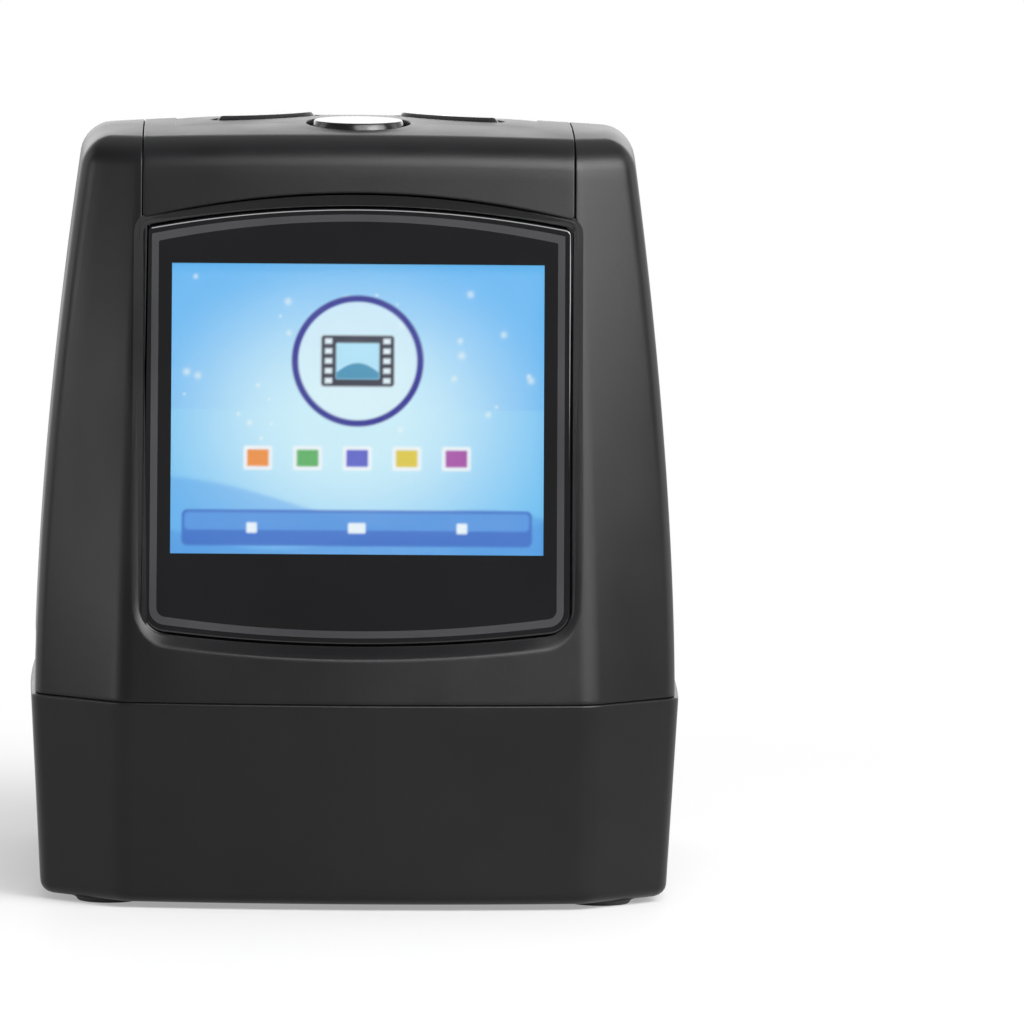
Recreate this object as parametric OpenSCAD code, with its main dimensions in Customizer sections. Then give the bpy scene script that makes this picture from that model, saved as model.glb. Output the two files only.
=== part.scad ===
// Stand-alone 35 mm negative scanner: a leaning tower housing on a base, with a screen in the
// front, five buttons on top, a film slot through both sides and sockets at the rear.
// Millimetres. Origin at the middle of the footprint, on the ground; the screen faces -Y.

/* [Body] */
// Height of the base, from its underside to the seam
base_h = 26.6; // [24:0.2:34]
// Height of the upper housing, from the seam to the nominal top
upper_h = 73.2; // [72:0.2:84]
// Depth at the seam
body_d = 86; // [84:0.5:96]
// Half width of the upper housing's front corner at the seam
side_x = 42.2; // [41.6:0.2:46]
// How much narrower each side is at the top than at the seam
side_lean = 6.2; // [5:0.2:8]
// How far each side swells beyond its corners
side_swell = 0.8; // [0.2:0.1:1.6]
// How far the base stands proud of the upper housing at each side
base_step = 0.5; // [0.2:0.1:1]
// How far the front leans back between seam and top
front_lean = 12.6; // [10:0.2:15]
// How far the back leans forward between seam and top
back_lean = 14.2; // [11:0.2:16]
// How much the base draws in towards its underside
base_draw = 1.6; // [0.8:0.1:2.4]
// Wall thickness of the moulded housings
wall = 2.2; // [1.8:0.1:2.6]
// Radius along the top edges
top_r = 3.4; // [2.8:0.1:4.2]
// Radius along the underside edges
foot_r = 1.6; // [1:0.1:2]
// Half width between the two front ridges at the seam
ridge_x = 31; // [30:0.2:33]
// Bow of the front face between the ridges
front_bow = 2; // [1.4:0.1:2.4]
// Bow of the back face
back_bow = 2.3; // [1.4:0.1:3]
// Height of the arched top's crown above the nominal top
crown_h = 2.1; // [1.6:0.1:2.4]
// Radius of the arched top, from front to back
roof_r = 130; // [125:5:180]
// Radius of the arched top, from side to side
roof_rx = 520; // [420:20:800]

/* [Top cover] */
// Half width of the top cover
cover_x = 28.4; // [28:0.1:29.2]
// Height of the cover's front lip below the nominal top, at the middle
lip_drop = 6.7; // [6:0.1:8]
// Extra drop of the lip at its corners
lip_rise = 3.5; // [2.5:0.1:4]
// Height of the rear apron's tip below the nominal top
apron_drop = 16.6; // [15.6:0.1:18]
// Height of the apron's rounded part
apron_round = 11; // [9:0.2:12]
// Gap along the cover's seams
seam_gap = 0.15; // [0.1:0.05:0.3]

/* [Screen] */
// Width of the window
window_w = 56.1; // [55:0.1:56.4]
// Height of the window along the slope
window_h = 57.6; // [56:0.2:58]
// Distance of the window's lower edge from the seam, along the slope
window_v = 8.1; // [7.8:0.1:8.6]
// Thickness of the window
window_t = 1.5; // [1:0.1:1.8]
// Depth of the window below the front face
recess = 2.1; // [1.9:0.1:2.3]
// Width of the bevel below the window
bevel = 2; // [1.6:0.1:2.4]
// Width of the bevel beside the window, at its widest
flare = 1.5; // [1.2:0.1:1.8]
// Gap around the window
window_gap = 0.25; // [0.15:0.05:0.3]
// Width of the lit screen
screen_w = 49; // [46:0.2:49.4]
// Height of the lit screen
screen_h = 38.4; // [36:0.2:38.6]
// Thickness of the screen panel
panel_t = 2.7; // [2:0.1:3]
// Depth of the holder between panel and main board
holder_t = 2.5; // [2:0.1:3]

/* [Buttons] */
// Distance of the leaf buttons from the middle
leaf_x = 12.2; // [11.6:0.1:12.8]
// Length of a leaf button
leaf_l = 15.1; // [14:0.1:15.4]
// Width of a leaf button
leaf_w = 6.4; // [5.8:0.1:6.8]
// Radius of a leaf button's tips
leaf_tip = 1.2; // [1:0.1:1.5]
// Turn of the leaf buttons
leaf_turn = 31; // [26:1:36]
// Diameter of the round button
round_d = 12.4; // [11.8:0.1:12.6]
// How far the leaf buttons stand proud
leaf_proud = 0.4; // [0.3:0.1:0.7]
// How far the round button stands proud
round_proud = 0.3; // [0.3:0.1:0.8]
// Travel of a button
travel = 0.5; // [0.3:0.05:0.55]
// Gap around a button
button_gap = 0.75; // [0.6:0.05:0.8]

/* [Film] */
// Width of the film slot, front to back
slot_w = 50; // [46:0.5:50]
// Height of the film slot
slot_h = 7.2; // [6.4:0.1:7.6]
// Wall of the film channel
channel_t = 1.6; // [1.2:0.1:1.8]
// Length of the light gate
gate_l = 37; // [36:0.5:38]
// Width of the light gate
gate_w = 25; // [24:0.5:26]

/* [Sockets] */
// Height of the USB socket's middle above the ground
port_z = 9.6; // [9.2:0.1:10.6]
// Distance of the AV jack from the middle
jack_x = 15.5; // [14:0.1:17]
// Bore of the AV jack
jack_bore = 3.6; // [3.5:0.02:3.7]
// Width of the card slot
card_w = 29.6; // [27:0.2:30]

/* [Feet] */
// Height of the feet below the base
foot_h = 0.8; // [0.5:0.1:1.2]
// Diameter of a foot
foot_d = 9; // [7:0.2:10]

/* [Hidden] */
$fn = 48;

shell_colour = [0.13, 0.13, 0.14];
board_colour = [0.05, 0.3, 0.15];
eps = 0.01;
// Space left around pieces that drop into each other
fit = 0.15;
// Running clearance on a radius
run = 0.05;

base_z = foot_h;
seam_z = base_z + base_h;
top_z = seam_z + upper_h;
floor_z = base_z + wall;
cover_in = top_z - wall;
tilt = atan(front_lean / upper_h);

// ---- plan outline of the housings at any height ----
ridge_top = 28.7;
ridge_foot = 30.6;
facet_d = [9.0, 9.6, 3.3]; // depth of the corner facets at foot, seam and top
front_y0 = -body_d / 2;
back_y0 = body_d / 2;

function mix(a, b, t) = a + (b - a) * t;
function unit(v) = v / norm(v);
function up(z) = max(0, (z - seam_z) / upper_h);
function down(z) = min(1, max(0, (seam_z - z) / base_h));
function front_y(z) = front_y0 + front_lean * up(z) + base_draw * down(z);
function back_y(z) = back_y0 - back_lean * up(z) - base_draw * down(z);
function corner_x(z, step) = side_x + step - side_lean * pow(up(z), 1.7) - (base_draw - 0.2) * down(z);
function ridge_at(z) = mix(ridge_x, ridge_top, up(z)) - (ridge_x - ridge_foot) * down(z);
function facet_at(z) = up(z) > 0 ? mix(facet_d[1], facet_d[2], up(z)) : mix(facet_d[1], facet_d[0], down(z));

// Points of a rounded corner at b, between a and c
function corner(a, b, c, r, n) =
    let(d1 = unit(a - b), d2 = unit(c - b), half = acos(d1 * d2) / 2,
        o = b + unit(d1 + d2) * r / sin(half), t = r / tan(half),
        p = b + d1 * t - o, q = b + d2 * t - o, a1 = atan2(p.y, p.x), w = atan2(q.y, q.x) - a1,
        sweep = w > 180 ? w - 360 : w < -180 ? w + 360 : w)
    [for (k = [0:n]) o + r * [cos(a1 + sweep * k / n), sin(a1 + sweep * k / n)]];

front_n = 6;
side_n = 6;
back_n = 6;
function side_point(f, b, s) = [mix(f.x, b.x, s) + 4 * side_swell * s * (1 - s), mix(f.y, b.y, s)];
function half_outline(z, g, step) =
    let(rx = ridge_at(z), a = [rx, front_y(z) + front_bow],
        f = [corner_x(z, step), a.y + facet_at(z)],
        b = [f.x - 0.4, back_y(z) - back_bow],
        s1 = side_point(f, b, 1 / side_n), s2 = side_point(f, b, 1 - 1 / side_n),
        x1 = rx * (front_n - 1) / front_n, x2 = b.x * (back_n - 1) / back_n)
    concat([for (k = [1:front_n - 1]) [rx * k / front_n, a.y - front_bow * (1 - pow(k / front_n, 2))]],
           corner([x1, a.y - front_bow * (1 - pow(x1 / rx, 2))], a, f, max(6, g + 0.6), 2),
           corner(a, f, s1, max(3.5, g + 0.6), 3),
           [for (k = [1:side_n - 1]) side_point(f, b, k / side_n)],
           corner(s2, b, [x2, b.y + back_bow * (1 - pow(x2 / b.x, 2))], max(4, g + 0.6), 4),
           [for (k = [back_n - 1:-1:1]) [b.x * k / back_n, b.y + back_bow * (1 - pow(k / back_n, 2))]]);
// Closed outline at height z, drawn in by g
function outline(z, g, step) =
    let(h = half_outline(z, g, step), n = len(h),
        p = concat([[0, front_y(z)]], h, [[0, back_y(z)]], [for (k = [n - 1:-1:0]) [-h[k].x, h[k].y]]),
        m = len(p))
    [for (k = [0:m - 1]) let(d = unit(p[(k + 1) % m] - p[(k + m - 1) % m])) p[k] + g * [-d.y, d.x]];

// A solid lofted through rings of equal count, given as lists of 3-D points
module loft(rings) {
    m = len(rings[0]);
    n = len(rings);
    polyhedron(
        points = [for (ring = rings) each ring],
        faces = concat([[for (k = [0:m - 1]) k]], [[for (k = [m - 1:-1:0]) (n - 1) * m + k]],
            [for (j = [0:n - 2]) for (k = [0:m - 1]) let(a = j * m + k, b = j * m + (k + 1) % m)
                each [[a, a + m, b + m], [a, b + m, b]]]));
}
function ring(z, g, step = 0) = [for (p = outline(z, g, step)) [p.x, p.y, z]];

// ---- the arched top ----
top_front = front_y0 + front_lean; // the top's two ends, where the slopes would meet it
top_back = back_y0 - back_lean;
crown_y = top_front + 22.4;
function roof(x, y) = top_z + crown_h - pow(y - crown_y, 2) / (2 * roof_r) - x * x / (2 * roof_rx);
// Ring whose points lie a drop below the arched top, on the slopes of the sides
function top_ring(drop, g) = let(flat = outline(top_z - drop, g, 0))
    [for (k = [0:len(flat) - 1]) let(z = roof(flat[k].x, flat[k].y) - drop, p = outline(z, g, 0)[k]) [p.x, p.y, z]];
// Rings that close the arched top, drawn in towards its crown; the last one is level
cap_steps = [0.75, 0.5, 0.28, 0.1];
function cap_rings(drop, g) = let(edge = outline(top_z - drop, g, 0))
    [for (s = cap_steps) [for (p = edge) let(x = p.x * s, y = mix(crown_y, p.y, s))
        [x, y, roof(s > 0.1 ? x : 0, s > 0.1 ? y : crown_y + 2) - drop]]];

upper_levels = [0, 0.22, 0.42, 0.62, 0.8];
module upper_outer()
    loft(concat([for (t = upper_levels) ring(seam_z + t * upper_h, 0)],
        [for (a = [0:30:90]) top_ring(top_r * (1 - sin(a)), top_r * (1 - cos(a)))], cap_rings(0, top_r)));
module upper_inner()
    loft(concat([for (t = upper_levels) ring(seam_z + t * upper_h - (t == 0 ? 1 : 0), wall)],
        [for (a = [0:45:90]) let(r = top_r - wall) top_ring(top_r - r * sin(a), wall + r * (1 - cos(a)))],
        cap_rings(wall, top_r)));
module base_outer()
    loft(concat([for (a = [0:45:90]) ring(base_z + foot_r * (1 - cos(a)), foot_r * (1 - sin(a)), base_step)],
        [ring(seam_z, 0, base_step)]));
module base_inner()
    loft([ring(floor_z, wall, base_step), ring(seam_z + 1, wall, base_step)]);

// ---- the cover's part of the skin, seen from the front and from the back ----
lip_n = 12;
apron_n = 20;
module cover_zone(g) {
    x = cover_x + g;
    lip = top_z - lip_drop - g;
    tip = top_z - apron_drop - g;
    translate([0, 1, 0]) rotate([90, 0, 0]) linear_extrude(body_d)
        polygon(concat([for (k = [0:lip_n]) let(u = 2 * k / lip_n - 1) [u * x, lip - lip_rise * u * u]],
            [[x, top_z + 5], [-x, top_z + 5]]));
    translate([0, body_d, 0]) rotate([90, 0, 0]) linear_extrude(body_d)
        polygon(concat([for (k = [0:apron_n]) let(a = 180 + 180 * k / apron_n)
                [x * cos(a), tip + apron_round * (1 + sin(a))]],
            [[x, top_z + 5], [-x, top_z + 5]]));
}

// ---- the window's outline in the plane of the front slope ----
arch = 2.7;
sag = 1.9;
mouth_top = 2.6;                 // the recess runs on under the cover's lip
window_v1 = window_v + window_h;
// Half width at height v, flared by the bevel
function flare_at(v, w) = w * pow(sin(max(2, min(155, 155 * (window_v1 - v) / window_h))), 0.6);
function window_outline(gs, gb, gt, w = 0) =
    let(hw = window_w / 2 + gs, v0 = window_v - gb, v1 = window_v1 + gt,
        xb = hw + flare_at(v0 + sag, w), xt = hw + flare_at(v1 - arch, w),
        bl = [-xb, v0 + sag], br = [xb, v0 + sag], tr = [xt, v1 - arch], tl = [-xt, v1 - arch], n = 12, m = 6,
        low = [for (k = [1:n - 1]) let(u = 2 * k / n - 1) [u * xb, v0 + sag * u * u]],
        high = [for (k = [1:n - 1]) let(u = 1 - 2 * k / n) [u * xt, v1 - arch * u * u]],
        right = [for (k = [1:m]) let(v = mix(br.y, tr.y, k / (m + 1))) [hw + flare_at(v, w), v]],
        left = [for (k = [m:-1:1]) [-right[k - 1].x, right[k - 1].y]])
    concat(low, corner(low[n - 2], br, right[0], 3 + gb, 3), right, corner(right[m - 1], tr, high[0], 1, 2),
           high, corner(high[n - 2], tl, left[0], 1, 2), left, corner(left[m - 1], bl, low[0], 3 + gb, 3));

module on_front() translate([0, front_y0, seam_z]) rotate([90 - tilt, 0, 0]) children();
module plate(points, low, high) translate([0, 0, low]) linear_extrude(high - low) polygon(points);
// Depth of the bowed front face below the slope plane
function face_w(u) = -front_bow * pow(u / ridge_x, 2) * cos(tilt);

seat_w = -recess - window_t;     // back of the window
sill_t = 1.6;                    // shelf that the window rests on
panel_w0 = seat_w - sill_t;      // front of the screen panel
holder_w0 = panel_w0 - panel_t;  // front of the holder
board_w0 = holder_w0 - holder_t; // front of the main board
board_t = 1.6;                   // thickness of every circuit board
screen_v = window_v + window_h * 0.54;
panel_w = screen_w + 6.5;
panel_h = screen_h + 3.6;
mount_x = 22;
mount_v = [screen_v - panel_h / 2 - 3.4, screen_v + panel_h / 2 + 2.6];

module board_mounts() for (x = [-mount_x, mount_x]) for (v = mount_v) translate([x, v]) children();

// ---- buttons and what lies under them ----
leaf_y = [top_front + 36.4, top_front + 22.4];
round_y = top_front + 13.5;
lamp_y = top_front + 28.9;
key_spots = [[-leaf_x, leaf_y[0]], [leaf_x, leaf_y[0]], [-leaf_x, leaf_y[1]], [leaf_x, leaf_y[1]], [0, round_y]];
key_turns = [-leaf_turn, leaf_turn, leaf_turn, -leaf_turn, 0];
press_gap = 0.1;                 // flange to cover when a button is up
flange_t = 1;
flange_grow = 1.3;
key_gap = 4.2;                   // key board to cover
key_z = cover_in - key_gap;      // top of the key board
switch_h = 2;
switch_w = 6.2;
plunger_up = 0.6;                // plunger above its switch
plunger_r = 1.6;
plunger_in = 0.9;                // plunger inside its switch
stem_r = 1.7;
key_board_x = 25.6;
key_board_y = [top_front + 5.9, top_back - 2.8];
boss_x = key_board_x - 4.1;
boss_y = [key_board_y[0] + 4, key_board_y[1] - 4.6];
screw_r = 0.85;
head_r = 1.7;
head_h = 1.2;
boss_r = 2.4;

// A leaf outline: two wide arcs meeting in two small round tips, grown by g
function leaf_outline(g) =
    let(a = leaf_l / 2 + g, b = leaf_w / 2 + g, r = leaf_tip + g, c = a - r,
        R = (c * c + b * b - r * r) / (2 * (b - r)), d = R - b, t = atan2(c, d), n = 8, m = 3)
    concat([for (k = [0:n]) let(q = -t + 2 * t * k / n) [R * sin(q), d - R * cos(q)]],
           [for (k = [1:m - 1]) let(q = t - 90 + 2 * (90 - t) * k / m) [c + r * cos(q), r * sin(q)]],
           [for (k = [0:n]) let(q = t - 2 * t * k / n) [R * sin(q), R * cos(q) - d]],
           [for (k = [1:m - 1]) let(q = 90 + t + 2 * (90 - t) * k / m) [r * cos(q) - c, r * sin(q)]]);
function turned(p, a) = [p.x * cos(a) - p.y * sin(a), p.x * sin(a) + p.y * cos(a)];
function key_outline(i, g) = i < 4 ? [for (p = leaf_outline(g)) turned(p, key_turns[i])]
    : [for (a = [0:7.5:359]) (round_d / 2 + g) * [cos(a), sin(a)]];
module key_profile(i, g) polygon(key_outline(i, g));
// How far the flats between the arch's rings lie below it, at most
arch_sag = pow((cap_steps[0] - 1) * (top_back - crown_y), 2) / (8 * roof_r);
// Lowest point of the cover's inner side over a button's flange
function key_in(i) = let(s = key_spots[i])
    min([for (p = key_outline(i, flange_grow)) roof(s.x + p.x, s.y + p.y)]) - wall - arch_sag;
// A button's top lies level with the arched top under it; the round one leans less
function key_top(i, p) = let(s = key_spots[i], lean = i < 4 ? 1 : 0.5)
    roof(s.x, s.y) + (i < 4 ? leaf_proud : round_proud) - lean * (p.x * s.x / roof_rx + p.y * (s.y - crown_y) / roof_r);

// ---- film channel and light path ----
channel_x = side_x - 3;
roof_z = seam_z + slot_h;
tray_t = 1.6;
tray_z = seam_z - tray_t;
diffuser_t = 2;
box_z1 = tray_z - diffuser_t;
lamp_board_z = floor_z + 7;
tower_top = top_z - 34.6;
tower_wall = 1.6;
sensor_z = tower_top + 8.6;
sensor_w = 32;
sensor_mount = 12.6;
ear_x = 33;
ear_y = slot_w / 2 + channel_t + 3;
ear_r = 2.8;
ear_t = 2;
lamp_mount = [gate_l / 2 + 1, gate_w / 2 + 1];
base_screw_x = 24.6;
base_screw_y = body_d / 2 - 8.5;

// ---- rear sockets ----
usb_w = 7.7;
usb_h = 3.9;
usb_l = 9.2;
socket_board_z = port_z - usb_h / 2;
socket_y = back_y(port_z) - 0.7;    // mouths lie just inside the rear face
jack_z = socket_board_z + 2.4;
jack_l = 11;
jack_body = [6.4, 10, 4.8];
socket_board_x = [-jack_x - 4, 12];
socket_board_d = 17;
socket_board_y = back_y(port_z) - wall - back_bow * pow(socket_board_x[0] / side_x, 2) - 0.5 - socket_board_d;
socket_posts = [[-16.5, socket_board_y + 2.8], [9, socket_board_y + 2.8], [9, socket_board_y + 13.5]];
card_h = 2.8;
card_z = key_z - board_t - card_h / 2;
card_l = 28;
card_y = key_board_y[1] + 0.9;
foot_x = 32.5;
foot_y = body_d / 2 - 13;
foot_sink = 1;

module screw(r, h, rh, hh) {
    translate([0, 0, -hh]) difference() {
        cylinder(r = rh, h = hh);
        translate([0, 0, -eps]) for (q = [0, 90]) rotate(q) translate([-rh * 0.6, -0.2, 0]) cube([rh * 1.2, 0.4, hh * 0.5]);
    }
    cylinder(r = r, h = h);
}

// ================= housings =================
module base_housing() color(shell_colour) {
    difference() {
        union() {
            difference() {
                base_outer();
                base_inner();
            }
            for (x = [-1, 1]) for (y = [-1, 1]) {
                translate([x * base_screw_x, y * base_screw_y, floor_z - eps]) cylinder(r = 4.2, h = seam_z - floor_z);
                translate([x * ear_x, y * ear_y, floor_z - eps]) cylinder(r = 2.6, h = seam_z - floor_z);
                translate([x * lamp_mount.x, y * lamp_mount.y, floor_z - eps])
                    cylinder(r = 2.2, h = lamp_board_z - floor_z);
            }
            for (p = socket_posts) translate([p.x, p.y, floor_z - eps])
                cylinder(r = 2.2, h = socket_board_z - board_t - floor_z);
            for (x = [-1, 1]) translate([x * (channel_x - 2.2) - 0.8, -slot_w / 2 + 3, floor_z - eps])
                cube([1.6, slot_w - 6, tray_z - floor_z + eps]);
        }
        for (x = [-1, 1]) for (y = [-1, 1]) {
            translate([x * base_screw_x, y * base_screw_y, base_z - 1]) cylinder(r = 3, h = 16);
            translate([x * base_screw_x, y * base_screw_y, base_z]) cylinder(r = 1.6, h = base_h + 1);
            translate([x * foot_x, y * foot_y, base_z - 1]) cylinder(r = foot_d / 2 + fit, h = 1 + foot_sink);
            translate([x * ear_x, y * ear_y, seam_z - 11]) cylinder(r = screw_r + run, h = 12);
            translate([x * lamp_mount.x, y * lamp_mount.y, lamp_board_z - 5.5]) cylinder(r = screw_r + run, h = 6);
        }
        for (p = socket_posts) translate([p.x, p.y, floor_z - 0.8]) cylinder(r = screw_r + run, h = 6);
        translate([-usb_w / 2 - fit, back_y0 - 8, port_z - usb_h / 2 - fit])
            cube([usb_w + 2 * fit, 10, usb_h + 2 * fit]);
        translate([-jack_x, back_y0 - 8, jack_z]) rotate([-90, 0, 0]) cylinder(r = 2.65, h = 10);
    }
}

rail_w = 2;
rail_h = 1.6;
rail_y = [top_front + top_r + 2, top_back - top_r - 2];
// A rail with its upper side a drop below the cover's inner side
module rail(x, w, drop) translate([x - w, 0, 0]) rotate([90, 0, 90]) linear_extrude(2 * w)
    polygon(concat([for (k = [0:8]) let(y = mix(rail_y[0], rail_y[1], k / 8)) [y, roof(abs(x) + w, y) - wall - drop]],
        [for (k = [8:-1:0]) let(y = mix(rail_y[0], rail_y[1], k / 8)) [y, roof(abs(x) + w, y) - wall - rail_h]]));
module upper_housing() color(shell_colour) {
    difference() {
        union() {
            difference() {
                upper_outer();
                upper_inner();
                cover_zone(seam_gap);
            }
            // seat of the window, with the mounts of the screen and main board behind it
            on_front() {
                plate(window_outline(1.5, 1.6, 0.7), panel_w0, -recess + 0.1);
                plate(window_outline(1.5, 1.6, 3.6), panel_w0, panel_w0 + 0.9);
                translate([0, 0, board_w0]) linear_extrude(panel_w0 - board_w0 + 0.5) board_mounts() circle(2);
            }
            // rails that carry the cover, under its arched inner side
            for (x = [-1, 1]) {
                rail(x * cover_x, rail_w, 0.02);
                rail(x * (cover_x + 1.3), 0.9, -0.5);
            }
            // sleeves for the screws that come up from the base
            for (x = [-1, 1]) {
                translate([x * base_screw_x, -base_screw_y, seam_z]) cylinder(r = 3.2, h = 8.4);
                translate([x * base_screw_x, base_screw_y, seam_z]) cylinder(r = 3.2, h = 17);
            }
        }
        on_front() {
            loft([for (t = [0, 0.35, 0.7, 1, 2]) let(s = min(t, 1))
                [for (p = window_outline(window_gap, mix(window_gap, bevel, s), mouth_top, flare * s))
                    [p.x, p.y, t > 1 ? 4 : mix(-recess, face_w(p.x) + 0.3, s)]]]);
            plate(window_outline(window_gap, window_gap, window_gap), seat_w, 1);
            translate([-screen_w / 2 - 0.8, screen_v - screen_h / 2 - 0.6, panel_w0 - 1])
                cube([screen_w + 1.6, screen_h + 1.2, 4]);
            translate([0, 0, board_w0 - 1]) linear_extrude(6) board_mounts() circle(screw_r + run);
        }
        for (x = [-1, 1]) for (y = [-1, 1])
            translate([x * base_screw_x, y * base_screw_y, seam_z - 1]) cylinder(r = 1.45 + run, h = 8);
        // the film slot through both sides
        translate([-60, -slot_w / 2, seam_z - 1]) cube([120, slot_w, slot_h + 1]);
    }
}

module top_cover() color(shell_colour) {
    scoop_r = 100;
    scoop_in = 1.7;
    scoop_h = 3.7;
    slot_high = card_h + 0.3;
    skin_y = back_y(card_z);
    difference() {
        union() {
            intersection() {
                difference() {
                    upper_outer();
                    upper_inner();
                }
                cover_zone(0);
            }
            // pad behind the card slot
            intersection() {
                upper_outer();
                translate([-19.5, card_y + 0.15, card_z - 5.6]) cube([39, 12, 9.6]);
                cover_zone(0);
            }
            for (x = [-1, 1]) for (y = boss_y) translate([x * boss_x, y, key_z])
                cylinder(r = boss_r, h = roof(boss_x, y) - wall / 2 - key_z);
        }
        for (i = [0:4]) translate([key_spots[i].x, key_spots[i].y, cover_in - 1]) linear_extrude(wall + 4)
            key_profile(i, button_gap);
        translate([0, lamp_y, cover_in - 1]) cylinder(r = 0.9, h = wall + 4);
        for (x = [-1, 1]) for (y = boss_y) translate([x * boss_x, y, key_z - 1]) cylinder(r = screw_r + run, h = 5);
        translate([-card_w / 2, skin_y - 8, card_z - slot_high / 2]) cube([card_w, 16, slot_high]);
        // finger scoop: a wide disc cut with a cone under it
        translate([0, skin_y + scoop_r - scoop_in, card_z - slot_high / 2]) {
            cylinder(r = scoop_r, h = slot_high, $fn = 180);
            translate([0, 0, -scoop_h]) cylinder(r1 = scoop_r - scoop_in - 0.8, r2 = scoop_r, h = scoop_h, $fn = 180);
        }
    }
}

// ================= screen =================
module screen_window() color([0.05, 0.05, 0.06]) on_front() plate(window_outline(0, 0, 0), seat_w, -recess);

module screen_panel() color([0.5, 0.75, 0.95]) on_front()
    translate([-panel_w / 2, screen_v - panel_h / 2, panel_w0 - panel_t]) cube([panel_w, panel_h, panel_t]);

module screen_holder() color([0.2, 0.2, 0.2]) on_front() difference() {
    translate([-panel_w / 2, screen_v - panel_h / 2, board_w0]) cube([panel_w, panel_h, holder_t]);
    for (x = [-1, 1]) translate([x * panel_w / 4 - panel_w / 4 + 2, screen_v - panel_h / 2 + 2, board_w0 - 1])
        cube([panel_w / 2 - 4, panel_h - 4, holder_t + 2]);
}

main_w = 53;
main_edge = [4, 3.5];            // main board beyond its mounts, below and above
module main_board() color(board_colour) on_front() difference() {
    translate([-main_w / 2, mount_v[0] - main_edge[0], board_w0 - board_t])
        cube([main_w, mount_v[1] - mount_v[0] + main_edge[0] + main_edge[1], board_t]);
    translate([0, 0, board_w0 - board_t - 1]) linear_extrude(board_t + 2) board_mounts() circle(1);
}

// Left edge, lower edge along the slope, and size of each chip and of the ribbon's connector
chips = [[-8, screen_v - 4, [16, 16, 1.2]], [-22, screen_v - 2, [10, 12, 1]], [12, screen_v - 2, [9, 9, 1]],
         [-7, mount_v[1] - 3, [14, 4, 1.6]]];
module main_chips() color([0.08, 0.08, 0.08]) on_front()
    for (c = chips) translate([c[0], c[1], board_w0 - board_t - c[2].z]) cube(c[2]);

module main_board_screws() color("silver") on_front() translate([0, 0, board_w0 - board_t])
    board_mounts() screw(screw_r, 5.6, head_r, head_h);

// ================= keys =================
module key_board() color(board_colour) difference() {
    translate([-key_board_x, key_board_y[0], key_z - board_t])
        cube([2 * key_board_x, key_board_y[1] - key_board_y[0], board_t]);
    for (x = [-1, 1]) for (y = boss_y) translate([x * boss_x, y, key_z - board_t - 1]) cylinder(r = 1, h = board_t + 2);
}

module key_board_screws() color("silver")
    for (x = [-1, 1]) for (y = boss_y) translate([x * boss_x, y, key_z - board_t]) screw(screw_r, 5.2, head_r, head_h);

module key_switches() color([0.2, 0.2, 0.22]) for (p = key_spots) translate([p.x, p.y, key_z]) difference() {
    translate([-switch_w / 2, -switch_w / 2, 0]) cube([switch_w, switch_w, switch_h]);
    translate([0, 0, switch_h - plunger_in - travel - 0.1]) cylinder(r = plunger_r + run, h = switch_h);
}

module plunger(i) color([0.1, 0.1, 0.1]) translate([key_spots[i].x, key_spots[i].y, key_z + switch_h - plunger_in])
    cylinder(r = plunger_r, h = plunger_in + plunger_up);
module power_plunger() plunger(0);
module menu_plunger() plunger(1);
module left_plunger() plunger(2);
module right_plunger() plunger(3);
module scan_plunger() plunger(4);

module button(i) {
    low = key_in(i) - press_gap - flange_t;
    stem_z = key_z + switch_h + plunger_up;
    edge = i < 4 ? [0.6, 0.7] : [0.35, 1.1]; // slant of the sides: inwards, and below the top
    color([0.06, 0.06, 0.07]) translate([key_spots[i].x, key_spots[i].y, 0]) {
        translate([0, 0, stem_z]) cylinder(r = stem_r, h = low - stem_z + eps);
        translate([0, 0, low]) linear_extrude(flange_t) key_profile(i, flange_grow);
        loft([[for (p = key_outline(i, 0)) [p.x, p.y, low + eps]],
            [for (p = key_outline(i, 0)) [p.x, p.y, key_top(i, p) - edge[1]]],
            [for (p = key_outline(i, -edge[0])) [p.x, p.y, key_top(i, p)]]]);
    }
}
module power_button() button(0);
module menu_button() button(1);
module left_button() button(2);
module right_button() button(3);
module scan_button() button(4);

lamp_h = 0.8;
module status_lamp() color([0.9, 0.9, 0.8]) translate([-0.8, lamp_y - 0.5, key_z]) cube([1.6, 1, lamp_h]);
module light_guide() color([0.8, 0.9, 0.8]) translate([0, lamp_y, 0]) {
    translate([0, 0, key_z + lamp_h]) cylinder(r = 0.9 - run, h = roof(0, lamp_y) - 0.4 - key_z - lamp_h);
    translate([0, 0, roof(0, lamp_y) - wall - 1]) cylinder(r = 1.9, h = 0.8);
}

// ================= card socket =================
shield_t = 0.3;
module card_socket() color([0.12, 0.12, 0.12]) difference() {
    translate([-14.5, card_y - card_l, card_z - card_h / 2 + shield_t]) cube([29, card_l, card_h - shield_t]);
    translate([-12.3, card_y - card_l + 1.2, card_z - card_h / 2 + shield_t - 1]) cube([24.6, card_l, 3.1]);
}
module card_shield() color("silver") difference() {
    translate([-14.5, card_y - card_l, card_z - card_h / 2]) cube([29, card_l, shield_t]);
    for (x = [-1, 1]) translate([x * 9 - 1.5, card_y - card_l + 8, card_z - card_h / 2 - 1]) cube([3, 9, 2]);
}

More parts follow.
